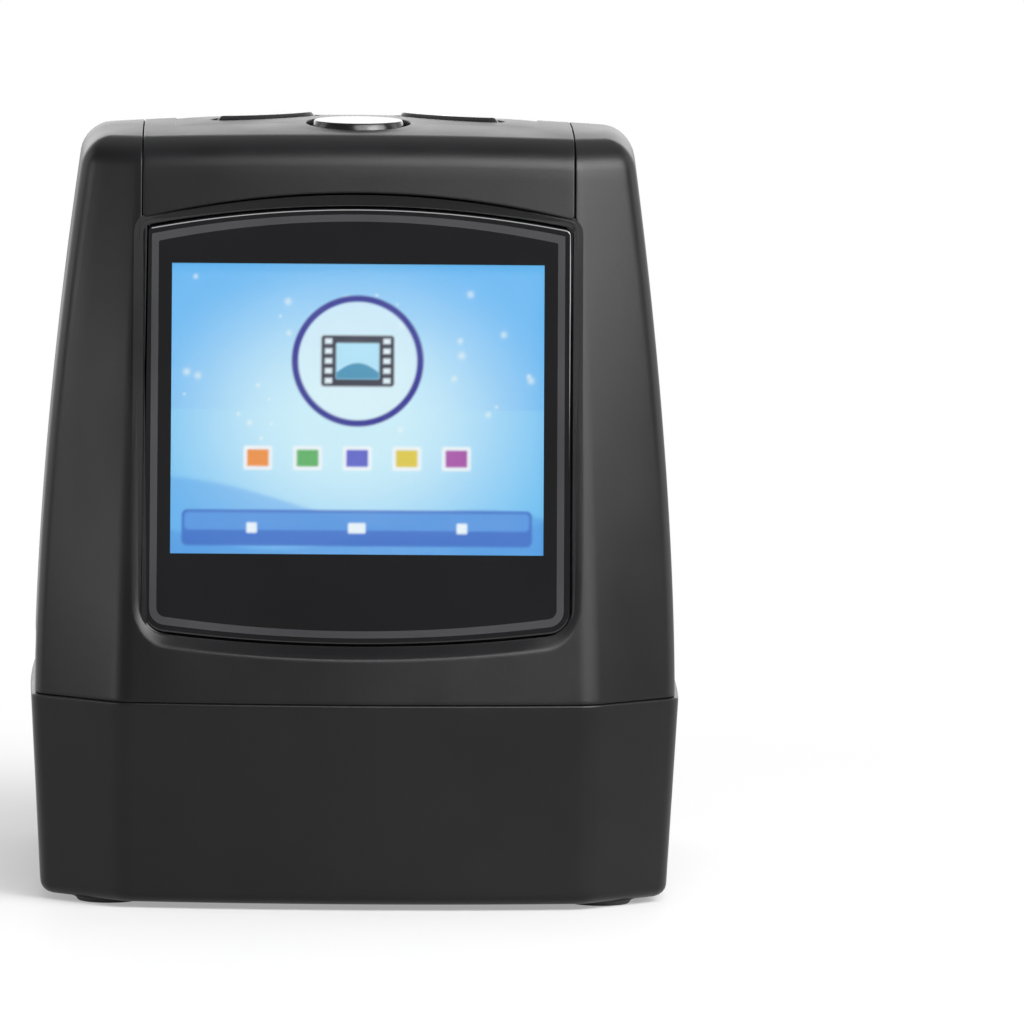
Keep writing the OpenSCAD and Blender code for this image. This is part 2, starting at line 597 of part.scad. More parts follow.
// ================= optics =================
module optics_chassis() color([0.1, 0.1, 0.1]) difference() {
    union() {
        translate([-channel_x, -slot_w / 2 - channel_t, seam_z])
            cube([2 * channel_x, slot_w + 2 * channel_t, slot_h + channel_t]);
        for (x = [-1, 1]) for (y = [-1, 1]) {
            translate([x * ear_x, y * ear_y, seam_z]) cylinder(r = ear_r, h = ear_t);
            translate([x * ear_x - ear_r, min(y * ear_y, y * slot_w / 2), seam_z]) cube([2 * ear_r, ear_y - slot_w / 2, ear_t]);
        }
        loft([for (s = [[22, 17, roof_z + channel_t - eps], [16, 16, tower_top]])
            [[-s[0], -s[1], s[2]], [s[0], -s[1], s[2]], [s[0], s[1], s[2]], [-s[0], s[1], s[2]]]]);
        for (x = [-1, 1]) for (y = [-1, 1]) translate([x * sensor_mount, y * sensor_mount, tower_top - 4])
            cylinder(r = 2.2, h = sensor_z - tower_top + 4);
    }
    translate([-channel_x - 1, -slot_w / 2, seam_z - 1]) cube([2 * channel_x + 2, slot_w, slot_h + 1]);
    translate([-gate_l / 2, -gate_w / 2, roof_z - 1]) cube([gate_l, gate_w, channel_t + 2]);
    difference() {
        loft([for (s = [[22, 17, roof_z + channel_t], [16, 16, tower_top - tower_wall]])
            let(x = s[0] - tower_wall, y = s[1] - tower_wall)
            [[-x, -y, s[2]], [x, -y, s[2]], [x, y, s[2]], [-x, y, s[2]]]]);
        for (x = [-1, 1]) for (y = [-1, 1]) translate([x * sensor_mount, y * sensor_mount, tower_top - 4])
            cylinder(r = 2.2, h = 5);
    }
    translate([0, 0, tower_top - 4]) cylinder(r = 8.2, h = 6);
    for (x = [-1, 1]) for (y = [-1, 1]) {
        translate([x * ear_x, y * ear_y, seam_z - 1]) cylinder(r = 1, h = ear_t + 2);
        translate([x * sensor_mount, y * sensor_mount, sensor_z - 5]) cylinder(r = screw_r + run, h = 6);
    }
}

module chassis_screws() color("silver") for (x = [-1, 1]) for (y = [-1, 1])
    translate([x * ear_x, y * ear_y, seam_z + ear_t]) mirror([0, 0, 1]) screw(screw_r, 11, head_r, head_h);

module sensor_board() color(board_colour) difference() {
    translate([-sensor_w / 2, -sensor_w / 2, sensor_z]) cube([sensor_w, sensor_w, board_t]);
    for (x = [-1, 1]) for (y = [-1, 1]) translate([x * sensor_mount, y * sensor_mount, sensor_z - 1])
        cylinder(r = 1, h = board_t + 2);
}
module sensor_screws() color("silver") for (x = [-1, 1]) for (y = [-1, 1])
    translate([x * sensor_mount, y * sensor_mount, sensor_z + board_t]) mirror([0, 0, 1]) screw(screw_r, 5.6, head_r, head_h);
module image_sensor() color([0.3, 0.3, 0.32]) translate([-5, -5, sensor_z - 1.1]) cube([10, 10, 1.1]);

holder_h = 11.6;
barrel_r = 6;
barrel_h = 12;
barrel_z = sensor_z - holder_h - 3;
lens_base = [17, 17, 3];         // square foot of the lens holder, on the sensor board
module lens_holder() color([0.08, 0.08, 0.08]) difference() {
    union() {
        translate([-lens_base.x / 2, -lens_base.y / 2, sensor_z - lens_base.z]) cube(lens_base);
        translate([0, 0, sensor_z - holder_h]) cylinder(r = 7.8, h = holder_h);
    }
    translate([0, 0, sensor_z - holder_h - 1]) cylinder(r = barrel_r + run, h = holder_h - 2);
    translate([-5.2, -5.2, sensor_z - 3]) cube([10.4, 10.4, 4]);
}
module lens_barrel() color([0.1, 0.1, 0.1]) translate([0, 0, barrel_z]) difference() {
    union() {
        cylinder(r = barrel_r, h = barrel_h - 0.8);
        cylinder(r = 7.2, h = 1.6);
    }
    translate([0, 0, -1]) cylinder(r = 4.2, h = barrel_h + 2);
    translate([0, 0, -1]) cylinder(r = 5.2, h = 3.4);
    translate([0, 0, barrel_h - 3]) cylinder(r = 5, h = 4);
}
module lens(r, h, bulge) rotate_extrude() intersection() {
    square([r, h]);
    translate([0, h - (r * r + bulge * bulge) / (2 * bulge)]) circle((r * r + bulge * bulge) / (2 * bulge), $fn = 160);
}
module front_lens() color([0.6, 0.7, 0.8]) translate([0, 0, barrel_z + 2.4]) mirror([0, 0, 1]) lens(5.2 - run, 2, 0.8);
module rear_lens() color([0.6, 0.7, 0.8]) translate([0, 0, barrel_z + barrel_h - 3]) lens(5 - run, 1.8, 0.7);

// ================= film tray and backlight =================
module film_tray() color([0.1, 0.1, 0.1]) difference() {
    translate([-channel_x, -slot_w / 2 - channel_t, tray_z]) cube([2 * channel_x, slot_w + 2 * channel_t, tray_t]);
    translate([-gate_l / 2 + 0.5, -gate_w / 2 + 0.5, tray_z - 1]) cube([gate_l - 1, gate_w - 1, tray_t + 2]);
    for (x = [-1, 1]) for (y = [-1, 1]) translate([x * ear_x, y * ear_y, tray_z - 1]) cylinder(r = 2.6 + fit, h = tray_t + 2);
}
module diffuser() color("white") translate([-gate_l / 2 - 1.5, -gate_w / 2 - 1.5, box_z1])
    cube([gate_l + 3, gate_w + 3, diffuser_t]);
lamp_top = lamp_board_z + board_t;
module reflector_box() color("white") difference() {
    translate([-gate_l / 2 - 3, -gate_w / 2 - 1.5, lamp_top]) cube([gate_l + 6, gate_w + 3, box_z1 - lamp_top]);
    loft([for (s = [[gate_l / 2 - 5, gate_w / 2 - 4, lamp_top - 1], [gate_l / 2 + 0.5, gate_w / 2 + 0.2, box_z1 + 1]])
        [[-s[0], -s[1], s[2]], [s[0], -s[1], s[2]], [s[0], s[1], s[2]], [-s[0], s[1], s[2]]]]);
    for (x = [-1, 1]) for (y = [-1, 1]) translate([x * lamp_mount.x, y * lamp_mount.y, lamp_top - 1])
        cylinder(r = head_r + 0.3, h = head_h + 1.6);
}
module backlight_board() color("white") difference() {
    translate([-gate_l / 2 - 4, -gate_w / 2 - 3.5, lamp_board_z]) cube([gate_l + 8, gate_w + 7, board_t]);
    for (x = [-1, 1]) for (y = [-1, 1]) translate([x * lamp_mount.x, y * lamp_mount.y, lamp_board_z - 1])
        cylinder(r = 1, h = board_t + 2);
}
module backlight_lamps() color([1, 0.95, 0.7]) for (x = [-10, 0, 10]) for (y = [-4.5, 4.5])
    translate([x - 1.4, y - 1.4, lamp_top]) cube([2.8, 2.8, 0.8]);
module backlight_screws() color("silver") for (x = [-1, 1]) for (y = [-1, 1])
    translate([x * lamp_mount.x, y * lamp_mount.y, lamp_top]) mirror([0, 0, 1]) screw(screw_r, 5.6, head_r, head_h);

// ================= rear sockets =================
module socket_board() color(board_colour) difference() {
    translate([socket_board_x[0], socket_board_y, socket_board_z - board_t])
        cube([socket_board_x[1] - socket_board_x[0], socket_board_d, board_t]);
    for (p = socket_posts) translate([p.x, p.y, socket_board_z - board_t - 1]) cylinder(r = 1, h = board_t + 2);
}
module socket_screws() color("silver") for (p = socket_posts)
    translate([p.x, p.y, socket_board_z]) mirror([0, 0, 1]) screw(screw_r, 4.6, head_r, head_h);
usb_t = 0.4;
module usb_socket() color("silver") translate([-usb_w / 2, socket_y - usb_l, port_z - usb_h / 2]) difference() {
    translate([0, usb_l, 0]) rotate([90, 0, 0]) linear_extrude(usb_l)
        polygon([[0.9, 0], [usb_w - 0.9, 0], [usb_w, 1.2], [usb_w, usb_h], [0, usb_h], [0, 1.2]]);
    translate([0, usb_l + 1, 0]) rotate([90, 0, 0]) linear_extrude(usb_l - 0.4)
        polygon([[0.9 + usb_t, usb_t], [usb_w - 0.9 - usb_t, usb_t], [usb_w - usb_t, 1.2 + usb_t / 2],
            [usb_w - usb_t, usb_h - usb_t], [usb_t, usb_h - usb_t], [usb_t, 1.2 + usb_t / 2]]);
}
module usb_tongue() color([0.1, 0.1, 0.1]) translate([-2, socket_y - usb_l + 1.4, port_z - 0.1]) cube([4, usb_l - 2.2, 0.9]);
module av_jack() color([0.08, 0.08, 0.08]) difference() {
    union() {
        translate([-jack_x - jack_body.x / 2, socket_y - 2.6 - jack_body.y, socket_board_z]) cube(jack_body);
        translate([-jack_x, socket_y, jack_z]) rotate([90, 0, 0]) cylinder(r = 2.4, h = 4);
    }
    translate([-jack_x, socket_y + 1, jack_z]) rotate([90, 0, 0]) cylinder(r = jack_bore / 2, h = jack_l + 1);
}

// ================= feet, screws, ribbons =================
module rubber_feet() color([0.2, 0.2, 0.2]) for (x = [-1, 1]) for (y = [-1, 1])
    translate([x * foot_x, y * foot_y, 0]) {
        cylinder(r1 = foot_d / 2 - 0.4, r2 = foot_d / 2, h = 0.4);
        translate([0, 0, 0.4]) cylinder(r = foot_d / 2, h = base_z + foot_sink - 0.4);
    }
module base_screws() color("silver") for (x = [-1, 1]) for (y = [-1, 1])
    translate([x * base_screw_x, y * base_screw_y, base_z + 15]) screw(1.45, base_h - 15 + 6.4, 2.7, 2);

ribbon_t = 0.3;
ribbon_off = 0.1;                // ribbon to the board that it is soldered to
ribbon_w = 12;
module ribbon(points, w) color([0.75, 0.6, 0.35]) translate([-w / 2, 0, 0]) rotate([90, 0, 90])
    linear_extrude(w) polygon(points);
// A flat band of the ribbon's thickness along a bent line of points, to its right or left
function band(line, side) = let(n = len(line)) concat(line, [for (k = [n - 1:-1:0])
    let(a = line[max(0, k - 1)], b = line[min(n - 1, k + 1)], d = unit(b - a)) line[k] + side * ribbon_t * [d.y, -d.x]]);
// A point behind the main board, as [y, z]
back_w = board_w0 - board_t;
function board_back(v) = let(w = back_w - ribbon_off)
    [front_y0 + v * sin(tilt) - w * cos(tilt), seam_z + v * cos(tilt) + w * sin(tilt)];
sensor_edge = -sensor_w / 2;
sensor_v = screen_v + 17;
module sensor_ribbon() let(z = sensor_z + board_t + ribbon_off, e = board_back(sensor_v))
    ribbon(band([[sensor_edge + 1.5, z], [sensor_edge - 1, z], [mix(sensor_edge - 1, e.x, 0.55), mix(z, e.y, 0.2)],
        e, board_back(sensor_v + 2.5)], 1), ribbon_w);
channel_front = -slot_w / 2 - channel_t;
module socket_ribbon() let(z = socket_board_z + ribbon_off, low = floor_z + 1.5, y = channel_front - 1.4)
    ribbon(band([[socket_board_y + 3, z], [socket_board_y - 0.8, z], [socket_board_y - 3, low],
        [y + 5, low], [y, low + 5], [y, roof_z + channel_t + 0.5], board_back(mount_v[0] - 3), board_back(mount_v[0] + 2)], 1),
        ribbon_w);
module key_ribbon() let(z = key_z - board_t - ribbon_off, v = mount_v[1] + 1 + ribbon_off, e = board_back(v + 1.2))
    ribbon(band([board_back(v), e, [e.x + 2, z], [e.x + 4.5, z]], 1), 10);

base_housing();
upper_housing();
top_cover();
screen_window();
screen_panel();
screen_holder();
main_board();
main_chips();
main_board_screws();
key_board();
key_board_screws();
key_switches();
power_plunger();
menu_plunger();
left_plunger();
right_plunger();
scan_plunger();
power_button();
menu_button();
left_button();
right_button();
scan_button();
status_lamp();
light_guide();
card_socket();
card_shield();
optics_chassis();
chassis_screws();
sensor_board();
image_sensor();
sensor_screws();
lens_holder();
lens_barrel();
front_lens();
rear_lens();
film_tray();
diffuser();
reflector_box();
backlight_board();
backlight_lamps();
backlight_screws();
socket_board();
socket_screws();
usb_socket();
usb_tongue();
av_jack();
rubber_feet();
base_screws();
sensor_ribbon();
socket_ribbon();
key_ribbon();
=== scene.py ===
import math
import bpy
import numpy as np
from mathutils import Matrix, Quaternion, Vector
from mathutils.geometry import delaunay_2d_cdt


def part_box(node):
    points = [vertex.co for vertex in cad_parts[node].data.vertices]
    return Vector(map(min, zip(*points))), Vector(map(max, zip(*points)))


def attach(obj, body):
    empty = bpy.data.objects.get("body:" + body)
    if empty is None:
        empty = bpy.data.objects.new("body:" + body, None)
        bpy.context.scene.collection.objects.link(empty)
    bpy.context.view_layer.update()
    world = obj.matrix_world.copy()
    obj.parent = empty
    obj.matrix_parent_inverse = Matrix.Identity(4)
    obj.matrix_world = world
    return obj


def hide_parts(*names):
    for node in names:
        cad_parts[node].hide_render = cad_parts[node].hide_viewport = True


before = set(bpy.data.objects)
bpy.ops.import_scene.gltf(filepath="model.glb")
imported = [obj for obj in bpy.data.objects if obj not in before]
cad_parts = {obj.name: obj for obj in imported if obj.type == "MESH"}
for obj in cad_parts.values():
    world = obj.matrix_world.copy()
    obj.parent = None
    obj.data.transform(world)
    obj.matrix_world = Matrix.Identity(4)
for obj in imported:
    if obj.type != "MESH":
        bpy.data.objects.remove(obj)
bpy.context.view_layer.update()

scene = bpy.context.scene
mm = 0.001
print("frame loaded:", len(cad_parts), "nodes")


# small helpers
def mixed(a, b, share):
    return a + (b - a) * share


def unit(v):
    v = np.asarray(v, float)
    return v / np.linalg.norm(v)


def newPiece(name, verts, faces, materials, body="housing", replaced=(), slot=None, sharpAt=38,
             faceMaterials=None):
    # verts are millimetres in the frame of the part
    mesh = bpy.data.meshes.new(name)
    mesh.from_pydata([tuple(v) for v in np.asarray(verts, float) * mm], [], [list(f) for f in faces])
    for material in materials if isinstance(materials, (list, tuple)) else [materials]:
        mesh.materials.append(material)
    if faceMaterials is not None:
        mesh.polygons.foreach_set("material_index", np.asarray(faceMaterials, np.int32))
    mesh.polygons.foreach_set("use_smooth", np.ones(len(mesh.polygons), bool))
    mesh.update()
    mesh.set_sharp_from_angle(angle=math.radians(sharpAt))
    piece = bpy.data.objects.new(name, mesh)
    scene.collection.objects.link(piece)
    return mounted(piece, body, replaced)


def mounted(piece, body, replaced):
    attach(piece, body)
    if replaced:
        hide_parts(*replaced)
    return piece


def ringStack(rings, closeLow=True, closeHigh=True):
    # rings of equal count, counterclockwise seen from the high end, as one closed mesh
    count = len(rings[0])
    verts = [tuple(p) for ring in rings for p in ring]
    faces = []
    for j in range(len(rings) - 1):
        for k in range(count):
            a, b = j * count + k, j * count + (k + 1) % count
            faces.append((a, b, b + count, a + count))
    if closeLow:
        faces.append(tuple(range(count - 1, -1, -1)))
    if closeHigh:
        faces.append(tuple((len(rings) - 1) * count + k for k in range(count)))
    return verts, faces


def joined(parts):
    verts, faces = [], []
    for v, f in parts:
        faces += [tuple(i + len(verts) for i in face) for face in f]
        verts += list(v)
    return verts, faces


def boxSolid(low, high):
    (x0, y0, z0), (x1, y1, z1) = low, high
    ring = [(x0, y0), (x1, y0), (x1, y1), (x0, y1)]
    return ringStack([[(x, y, z0) for x, y in ring], [(x, y, z1) for x, y in ring]])


def loopStack(rings):
    # rings joined from the last back to the first, as a closed tube
    count, n = len(rings[0]), len(rings)
    verts = [tuple(p) for ring in rings for p in ring]
    steps = [(j * count, (j + 1) % n * count, k, (k + 1) % count) for j in range(n) for k in range(count)]
    return verts, [(low + k, low + after, high + after, high + k) for low, high, k, after in steps]


def facing(solid):
    # turns a closed solid's faces outwards
    verts, faces = solid
    v = np.asarray(verts, float)
    volume = sum(np.dot(v[f[0]], np.cross(v[f[k]], v[f[k + 1]])) for f in faces
                 for k in range(1, len(f) - 1))
    return (verts, faces) if volume > 0 else (verts, [f[::-1] for f in faces])


def welded(verts, faces):
    # joins points that lie in one place
    places, index, kept = {}, [], []
    for v in verts:
        key = tuple(np.round(np.asarray(v, float), 4))
        if key not in places:
            places[key] = len(kept)
            kept.append(v)
        index.append(places[key])
    return kept, [tuple(index[i] for i in f) for f in faces]


def roundLevels(radius, steps=4):
    # distances from an edge at which its rounding is cut
    return [radius * (1 - math.sin(0.5 * math.pi * k / steps)) for k in range(steps + 1)]


def edgeDrop(distance, radius):
    # how far a rounded edge falls below the surface at a distance from it
    near = np.clip(radius - distance, 0, radius)
    return radius - np.sqrt(radius * radius - near * near)


# camera
cameraSettings = {"place": (-16.0, -1343.0, 174.0), "aim": (0.6, -38.0, 52.4), "lens": 351.6,
                  "shiftX": 0.1467, "roll": 0.46}


def makeCamera(s):
    data = bpy.data.cameras.new("photoCamera")
    data.lens = s["lens"]
    data.sensor_width = 36
    data.shift_x = s["shiftX"]
    data.clip_end = 20
    data.dof.use_dof = False
    camera = bpy.data.objects.new("photoCamera", data)
    scene.collection.objects.link(camera)
    place = Vector(s["place"]) * mm
    turn = (Vector(s["aim"]) * mm - place).to_track_quat("-Z", "Y")
    turn = turn @ Quaternion((0, 0, 1), math.radians(s["roll"]))
    camera.matrix_world = Matrix.LocRotScale(place, turn, None)
    scene.camera = camera


makeCamera(cameraSettings)

# the tower's form, the same rules as the housings' source
tower = {"foot": 0.8, "seam": 27.4, "top": 100.6, "front": -43.0, "back": 43.0, "sideX": 42.2,
         "sideLean": 6.2, "swell": 0.78, "baseStep": 0.5, "frontLean": 12.6, "backLean": 14.2,
         "baseDraw": 1.6, "wall": 2.2, "topR": 3.4, "footR": 1.6, "ridge": (30.6, 31.0, 28.7),
         "frontBow": 2.0, "backBow": 2.3, "facet": (9.0, 9.6, 3.3), "ridgeR": 6.0, "facetR": 3.5,
         "backR": 4.0, "crown": 2.1, "crownY": -8.0, "roofR": 130.0, "roofRx": 520.0}
coverForm = {"x": 28.4, "lipDrop": 6.7, "lipRise": 3.5, "apronDrop": 16.6, "apronRound": 11.0, "gap": 0.15}
windowForm = {"half": 28.05, "low": 8.1, "high": 65.7, "sag": 1.9, "arch": 2.7, "recess": 2.1,
              "thick": 1.5, "gap": 0.25, "bevel": 2.0, "flare": 1.5, "mouthTop": 2.6, "rLow": 3.0,
              "rHigh": 1.0}
tilt = math.atan(tower["frontLean"] / (tower["top"] - tower["seam"]))
sinTilt, cosTilt = math.sin(tilt), math.cos(tilt)


def rise(z):
    return max(0.0, (z - tower["seam"]) / (tower["top"] - tower["seam"]))


def sink(z):
    return min(1.0, max(0.0, (tower["seam"] - z) / (tower["seam"] - tower["foot"])))


def frontAt(z):
    return tower["front"] + tower["frontLean"] * rise(z) + tower["baseDraw"] * sink(z)


def backAt(z):
    return tower["back"] - tower["backLean"] * rise(z) - tower["baseDraw"] * sink(z)


def roofAt(x, y):
    # height of the arched top over a point of the plan
    t = tower
    return t["top"] + t["crown"] - (y - t["crownY"]) ** 2 / (2 * t["roofR"]) - x ** 2 / (2 * t["roofRx"])


def roundedCorner(corner, dirIn, dirOut, radius, count):
    turn = math.acos(max(-1, min(1, float(dirIn @ dirOut))))
    length = radius * math.tan(turn / 2)
    start = corner - dirIn * length
    centre = start + radius * np.array([-dirIn[1], dirIn[0]])
    angle = math.atan2(*(start - centre)[::-1])
    angles = [angle + turn * k / count for k in range(count + 1)]
    return [centre + radius * np.array([math.cos(a), math.sin(a)]) for a in angles], length


def insideLoop(points, loop):
    # winding test for many points at once
    x, y = points[:, 0][:, None], points[:, 1][:, None]
    ax, ay = loop[:, 0][None], loop[:, 1][None]
    bx, by = np.roll(loop[:, 0], -1)[None], np.roll(loop[:, 1], -1)[None]
    crosses = ((ay > y) != (by > y)) & (x < (bx - ax) * (y - ay) / np.where(by == ay, 1e-12, by - ay) + ax)
    return crosses.sum(1) % 2 == 1


def outlineRing(z, g, step, counts):
    # the tower's outline at height z, drawn in by g; counts: front, corner, facet, side, back
    t = tower
    foot, seam, top = t["ridge"]
    ridge = mixed(seam, top, rise(z)) - (seam - foot) * sink(z)
    low, mid, high = t["facet"]
    facet = mixed(mid, high, rise(z)) if rise(z) > 0 else mixed(mid, low, sink(z))
    a = np.array([ridge, frontAt(z) + t["frontBow"]])
    side = t["sideX"] + step - t["sideLean"] * rise(z) ** 1.7 - (t["baseDraw"] - 0.2) * sink(z)
    f = np.array([side, a[1] + facet])
    b = np.array([f[0] - 0.4, backAt(z) - t["backBow"]])
    run = b[1] - f[1]
    frontDir, facetDir = unit([1, 2 * t["frontBow"] / ridge]), unit(f - a)
    sideStart, sideEnd = unit([4 * t["swell"] - 0.4, run]), unit([-4 * t["swell"] - 0.4, run])
    backDir = unit([-1, 2 * t["backBow"] / b[0]])
    soft, _ = roundedCorner(a, frontDir, facetDir, max(t["ridgeR"], g + 0.6), counts[1])
    firm, lengthF = roundedCorner(f, facetDir, sideStart, max(t["facetR"], g + 0.6), counts[1])
    rear, lengthB = roundedCorner(b, sideEnd, backDir, max(t["backR"], g + 0.6), counts[1])
    half = [np.array([x, a[1] - t["frontBow"] * (1 - (x / ridge) ** 2)])
            for x in np.linspace(0, soft[0][0], counts[0] + 1)[1:-1]]
    half += soft + [mixed(soft[-1], firm[0], k / counts[2]) for k in range(1, counts[2])] + firm
    for s in np.linspace(lengthF / run, 1 - lengthB / run, counts[3] + 1)[1:-1]:
        half.append(np.array([mixed(f[0], b[0], s) + 4 * t["swell"] * s * (1 - s), mixed(f[1], b[1], s)]))
    half += rear + [np.array([x, b[1] + t["backBow"] * (1 - (x / b[0]) ** 2)])
                    for x in np.linspace(rear[-1][0], 0, counts[4] + 1)[1:-1]]
    half = np.array(half)
    ring = np.vstack([[[0, frontAt(z)]], half, [[0, backAt(z)]], (half * [-1, 1])[::-1]])
    if g > 0:
        along = np.roll(ring, -1, 0) - np.roll(ring, 1, 0)
        along /= np.linalg.norm(along, axis=1)[:, None]
        ring = ring + g * np.stack([-along[:, 1], along[:, 0]], 1)
    return np.column_stack([ring, np.full(len(ring), z)])


def archedRing(z, g, step, counts, share):
    # an outline whose height follows the arched top by a share, with its points still on the slopes
    level = outlineRing(z, g, step, counts)
    if share <= 0:
        return level
    heights = z + share * (roofAt(level[:, 0], level[:, 1]) - tower["top"])
    samples = np.linspace(heights.min(), heights.max(), 8)
    stack = np.array([outlineRing(q, g, step, counts) for q in samples])
    place = (heights - samples[0]) / (samples[-1] - samples[0]) * 7
    index = np.minimum(place.astype(int), 6)
    each = np.arange(len(level))
    ring = mixed(stack[index, each], stack[index + 1, each], (place - index)[:, None])
    ring[:, 2] = heights
    return ring


def flatFill(ring, loops, heightOf, upward, spacing=0):
    # fills a ring seen from above, with every loop as a line of its mesh; ring indices come first
    flat = [Vector((float(p[0]), float(p[1]))) for p in ring]
    count = len(flat)
    edges = []
    if spacing:   # points between the loops, so that the surface can follow a curve
        lines = np.array([p[:2] for loop in [ring] + list(loops) for p in loop])
        low, high = lines.min(0), lines.max(0)
        border = np.asarray(ring)[:, :2]
        for x in np.arange(low[0] + spacing, high[0] - 0.5, spacing):
            for y in np.arange(low[1] + spacing, high[1] - 0.5, spacing):
                clear = np.min(np.hypot(lines[:, 0] - x, lines[:, 1] - y)) > 0.55 * spacing
                if clear and insideLoop(np.array([[x, y]]), border)[0]:
                    flat.append(Vector((x, y)))
    for loop in loops:
        first = len(flat)
        flat += [Vector((float(p[0]), float(p[1]))) for p in loop]
        edges += [(first + k, first + (k + 1) % len(loop)) for k in range(len(loop))]
    verts, _, faces, origin, _, _ = delaunay_2d_cdt(flat, edges, [list(range(count))], 1, 1e-5)
    place = {}
    extra = []
    for k, came in enumerate(origin):
        fromRing = [i for i in came if i < count]
        if fromRing:
            place[k] = fromRing[0]
        else:
            place[k] = count + len(extra)
            extra.append((verts[k][0], verts[k][1], heightOf(verts[k][0], verts[k][1])))
    filled = []
    for face in faces:
        face = [place[i] for i in face]
        filled.append(tuple(face if upward else face[::-1]))
    return extra, filled


def towerSkin(levels, counts, step=0.0, topLoops=None, floorLoops=None):
    # the undivided outer skin of a stretch of the tower: vertices and faces
    low = 48   # the rings follow the arched top more and more from this height on
    arching = lambda z: max(0.0, min(1.0, (z - low) / (tower["top"] - tower["topR"] - low)))
    rings = [archedRing(z, g, step, counts, arching(z)) for z, g in levels]
    count = len(rings[0])
    verts, faces = ringStack(rings, False, False)
    if topLoops is not None:
        extra, filled = flatFill(rings[-1], topLoops, roofAt, True, 2.2)
        base, first = len(verts), (len(rings) - 1) * count
        faces += [tuple(first + i if i < count else base + i - count for i in face) for face in filled]
        verts += extra
    if floorLoops is not None:
        extra, filled = flatFill(rings[0], floorLoops, lambda x, y: rings[0][0][2], False)
        base = len(verts)
        faces += [tuple(i if i < count else base + i - count for i in face) for face in filled]
        verts += extra
    return np.array(verts, float), faces


def faceNormals(verts, faces):
    # vertex normals of a skin
    normals = np.zeros_like(verts)
    for face in faces:
        p = verts[list(face)]
        n = np.cross(p - p[0], np.roll(p, -1, 0) - p[0]).sum(0)
        normals[list(face)] += n
    return normals / np.maximum(np.linalg.norm(normals, axis=1), 1e-12)[:, None]


def splitSkin(verts, faces, loose, valueOf, level, within=None):
    # cuts the faces along the line where valueOf is level; loose vertices may still slide onto the line
    value = valueOf(verts) - level
    starts = np.cumsum([0] + [len(f) for f in faces[:-1]])
    flat = np.concatenate([np.asarray(f) for f in faces])
    low, high = np.minimum.reduceat(value[flat], starts), np.maximum.reduceat(value[flat], starts)
    mixedFaces = np.nonzero((low < -1e-7) & (high > 1e-7))[0]
    if within is not None:
        keep = within(verts)
        allIn = np.minimum.reduceat(keep[flat].astype(np.int8), starts)
        cutFaces = set(mixedFaces[allIn[mixedFaces] > 0].tolist())
    else:
        cutFaces = set(mixedFaces.tolist())
    verts = verts.copy()
    for i in cutFaces:   # slide close vertices onto the line
        face = faces[i]
        for a, b in zip(face, face[1:] + face[:1]):
            if value[a] * value[b] < 0:
                share = value[a] / (value[a] - value[b])
                for p, q, t in ((a, b, share), (b, a, 1 - share)):
                    if t < 0.12 and loose[p]:
                        verts[p] += (verts[q] - verts[p]) * t
                        value[p], loose[p] = 0.0, False
                        break
    value[np.abs(value) < 1e-6] = 0
    added, onEdge = [], {}
    for i in cutFaces:
        face = faces[i]
        for a, b in zip(face, face[1:] + face[:1]):
            key = (a, b) if a < b else (b, a)
            if value[a] * value[b] < 0 and key not in onEdge:
                onEdge[key] = len(verts) + len(added)
                added.append(mixed(verts[a], verts[b], value[a] / (value[a] - value[b])))
    out = list(faces)
    for i in mixedFaces.tolist():
        face = faces[i]
        ring, cuts = [], []
        for a, b in zip(face, face[1:] + face[:1]):
            if value[a] == 0:
                cuts.append(len(ring))
            ring.append(a)
            key = (a, b) if a < b else (b, a)
            if key in onEdge:
                cuts.append(len(ring))
                ring.append(onEdge[key])
        if i in cutFaces and len(cuts) == 2 and 1 < cuts[1] - cuts[0] < len(ring) - 1:
            out[i] = tuple(ring[cuts[0]:cuts[1] + 1])
            out.append(tuple(ring[cuts[1]:] + ring[:cuts[0] + 1]))
        else:
            out[i] = tuple(ring)
    if added:
        verts = np.vstack([verts, added])
        loose = np.concatenate([loose, np.zeros(len(added), bool)])
    return verts, out, loose


def skinSolid(faces, outer, inner):
    # a closed wall between the kept faces' outer and inner places
    used = sorted({i for f in faces for i in f})
    place = {old: new for new, old in enumerate(used)}
    count = len(used)
    kept = [tuple(place[i] for i in f) for f in faces]
    directed = {(a, b) for f in kept for a, b in zip(f, f[1:] + f[:1])}
    rim = [(b, a, a + count, b + count) for a, b in directed if (b, a) not in directed]
    solid = kept + [tuple(i + count for i in f[::-1]) for f in kept] + sorted(rim)
    return np.vstack([outer[used], inner[used]]), solid


def cutSkin(verts, faces, loose, cuts):
    for cut in cuts:
        verts, faces, loose = splitSkin(verts, faces, loose, *cut)
    return verts, faces


def keepFaces(verts, faces, valueOf, within=None):
    # the faces on the positive side of valueOf
    value = valueOf(verts) if within is None else np.where(within(verts), valueOf(verts), 1)
    return [f for f in faces if np.mean(value[list(f)]) > 0]


# distances on the skin, in millimetres, positive outside
def lipDistance(p):
    x = np.abs(p[:, 0])
    lip = tower["top"] - coverForm["lipDrop"] - coverForm["lipRise"] * (x / coverForm["x"]) ** 2
    return (lip - p[:, 2]) / np.sqrt(1 + (2 * coverForm["lipRise"] * x / coverForm["x"] ** 2) ** 2)


def apronDistance(p):
    a, b = coverForm["x"], coverForm["apronRound"]
    x, z = np.abs(p[:, 0]), p[:, 2] - (tower["top"] - coverForm["apronDrop"] + b)
    near, far = np.hypot(x / a, z / b), np.maximum(np.hypot(x / a ** 2, z / b ** 2), 1e-9)
    return np.where(z < 0, near * (near - 1) / far, x - a)


def sideDistance(p):
    return np.abs(p[:, 0]) - coverForm["x"]


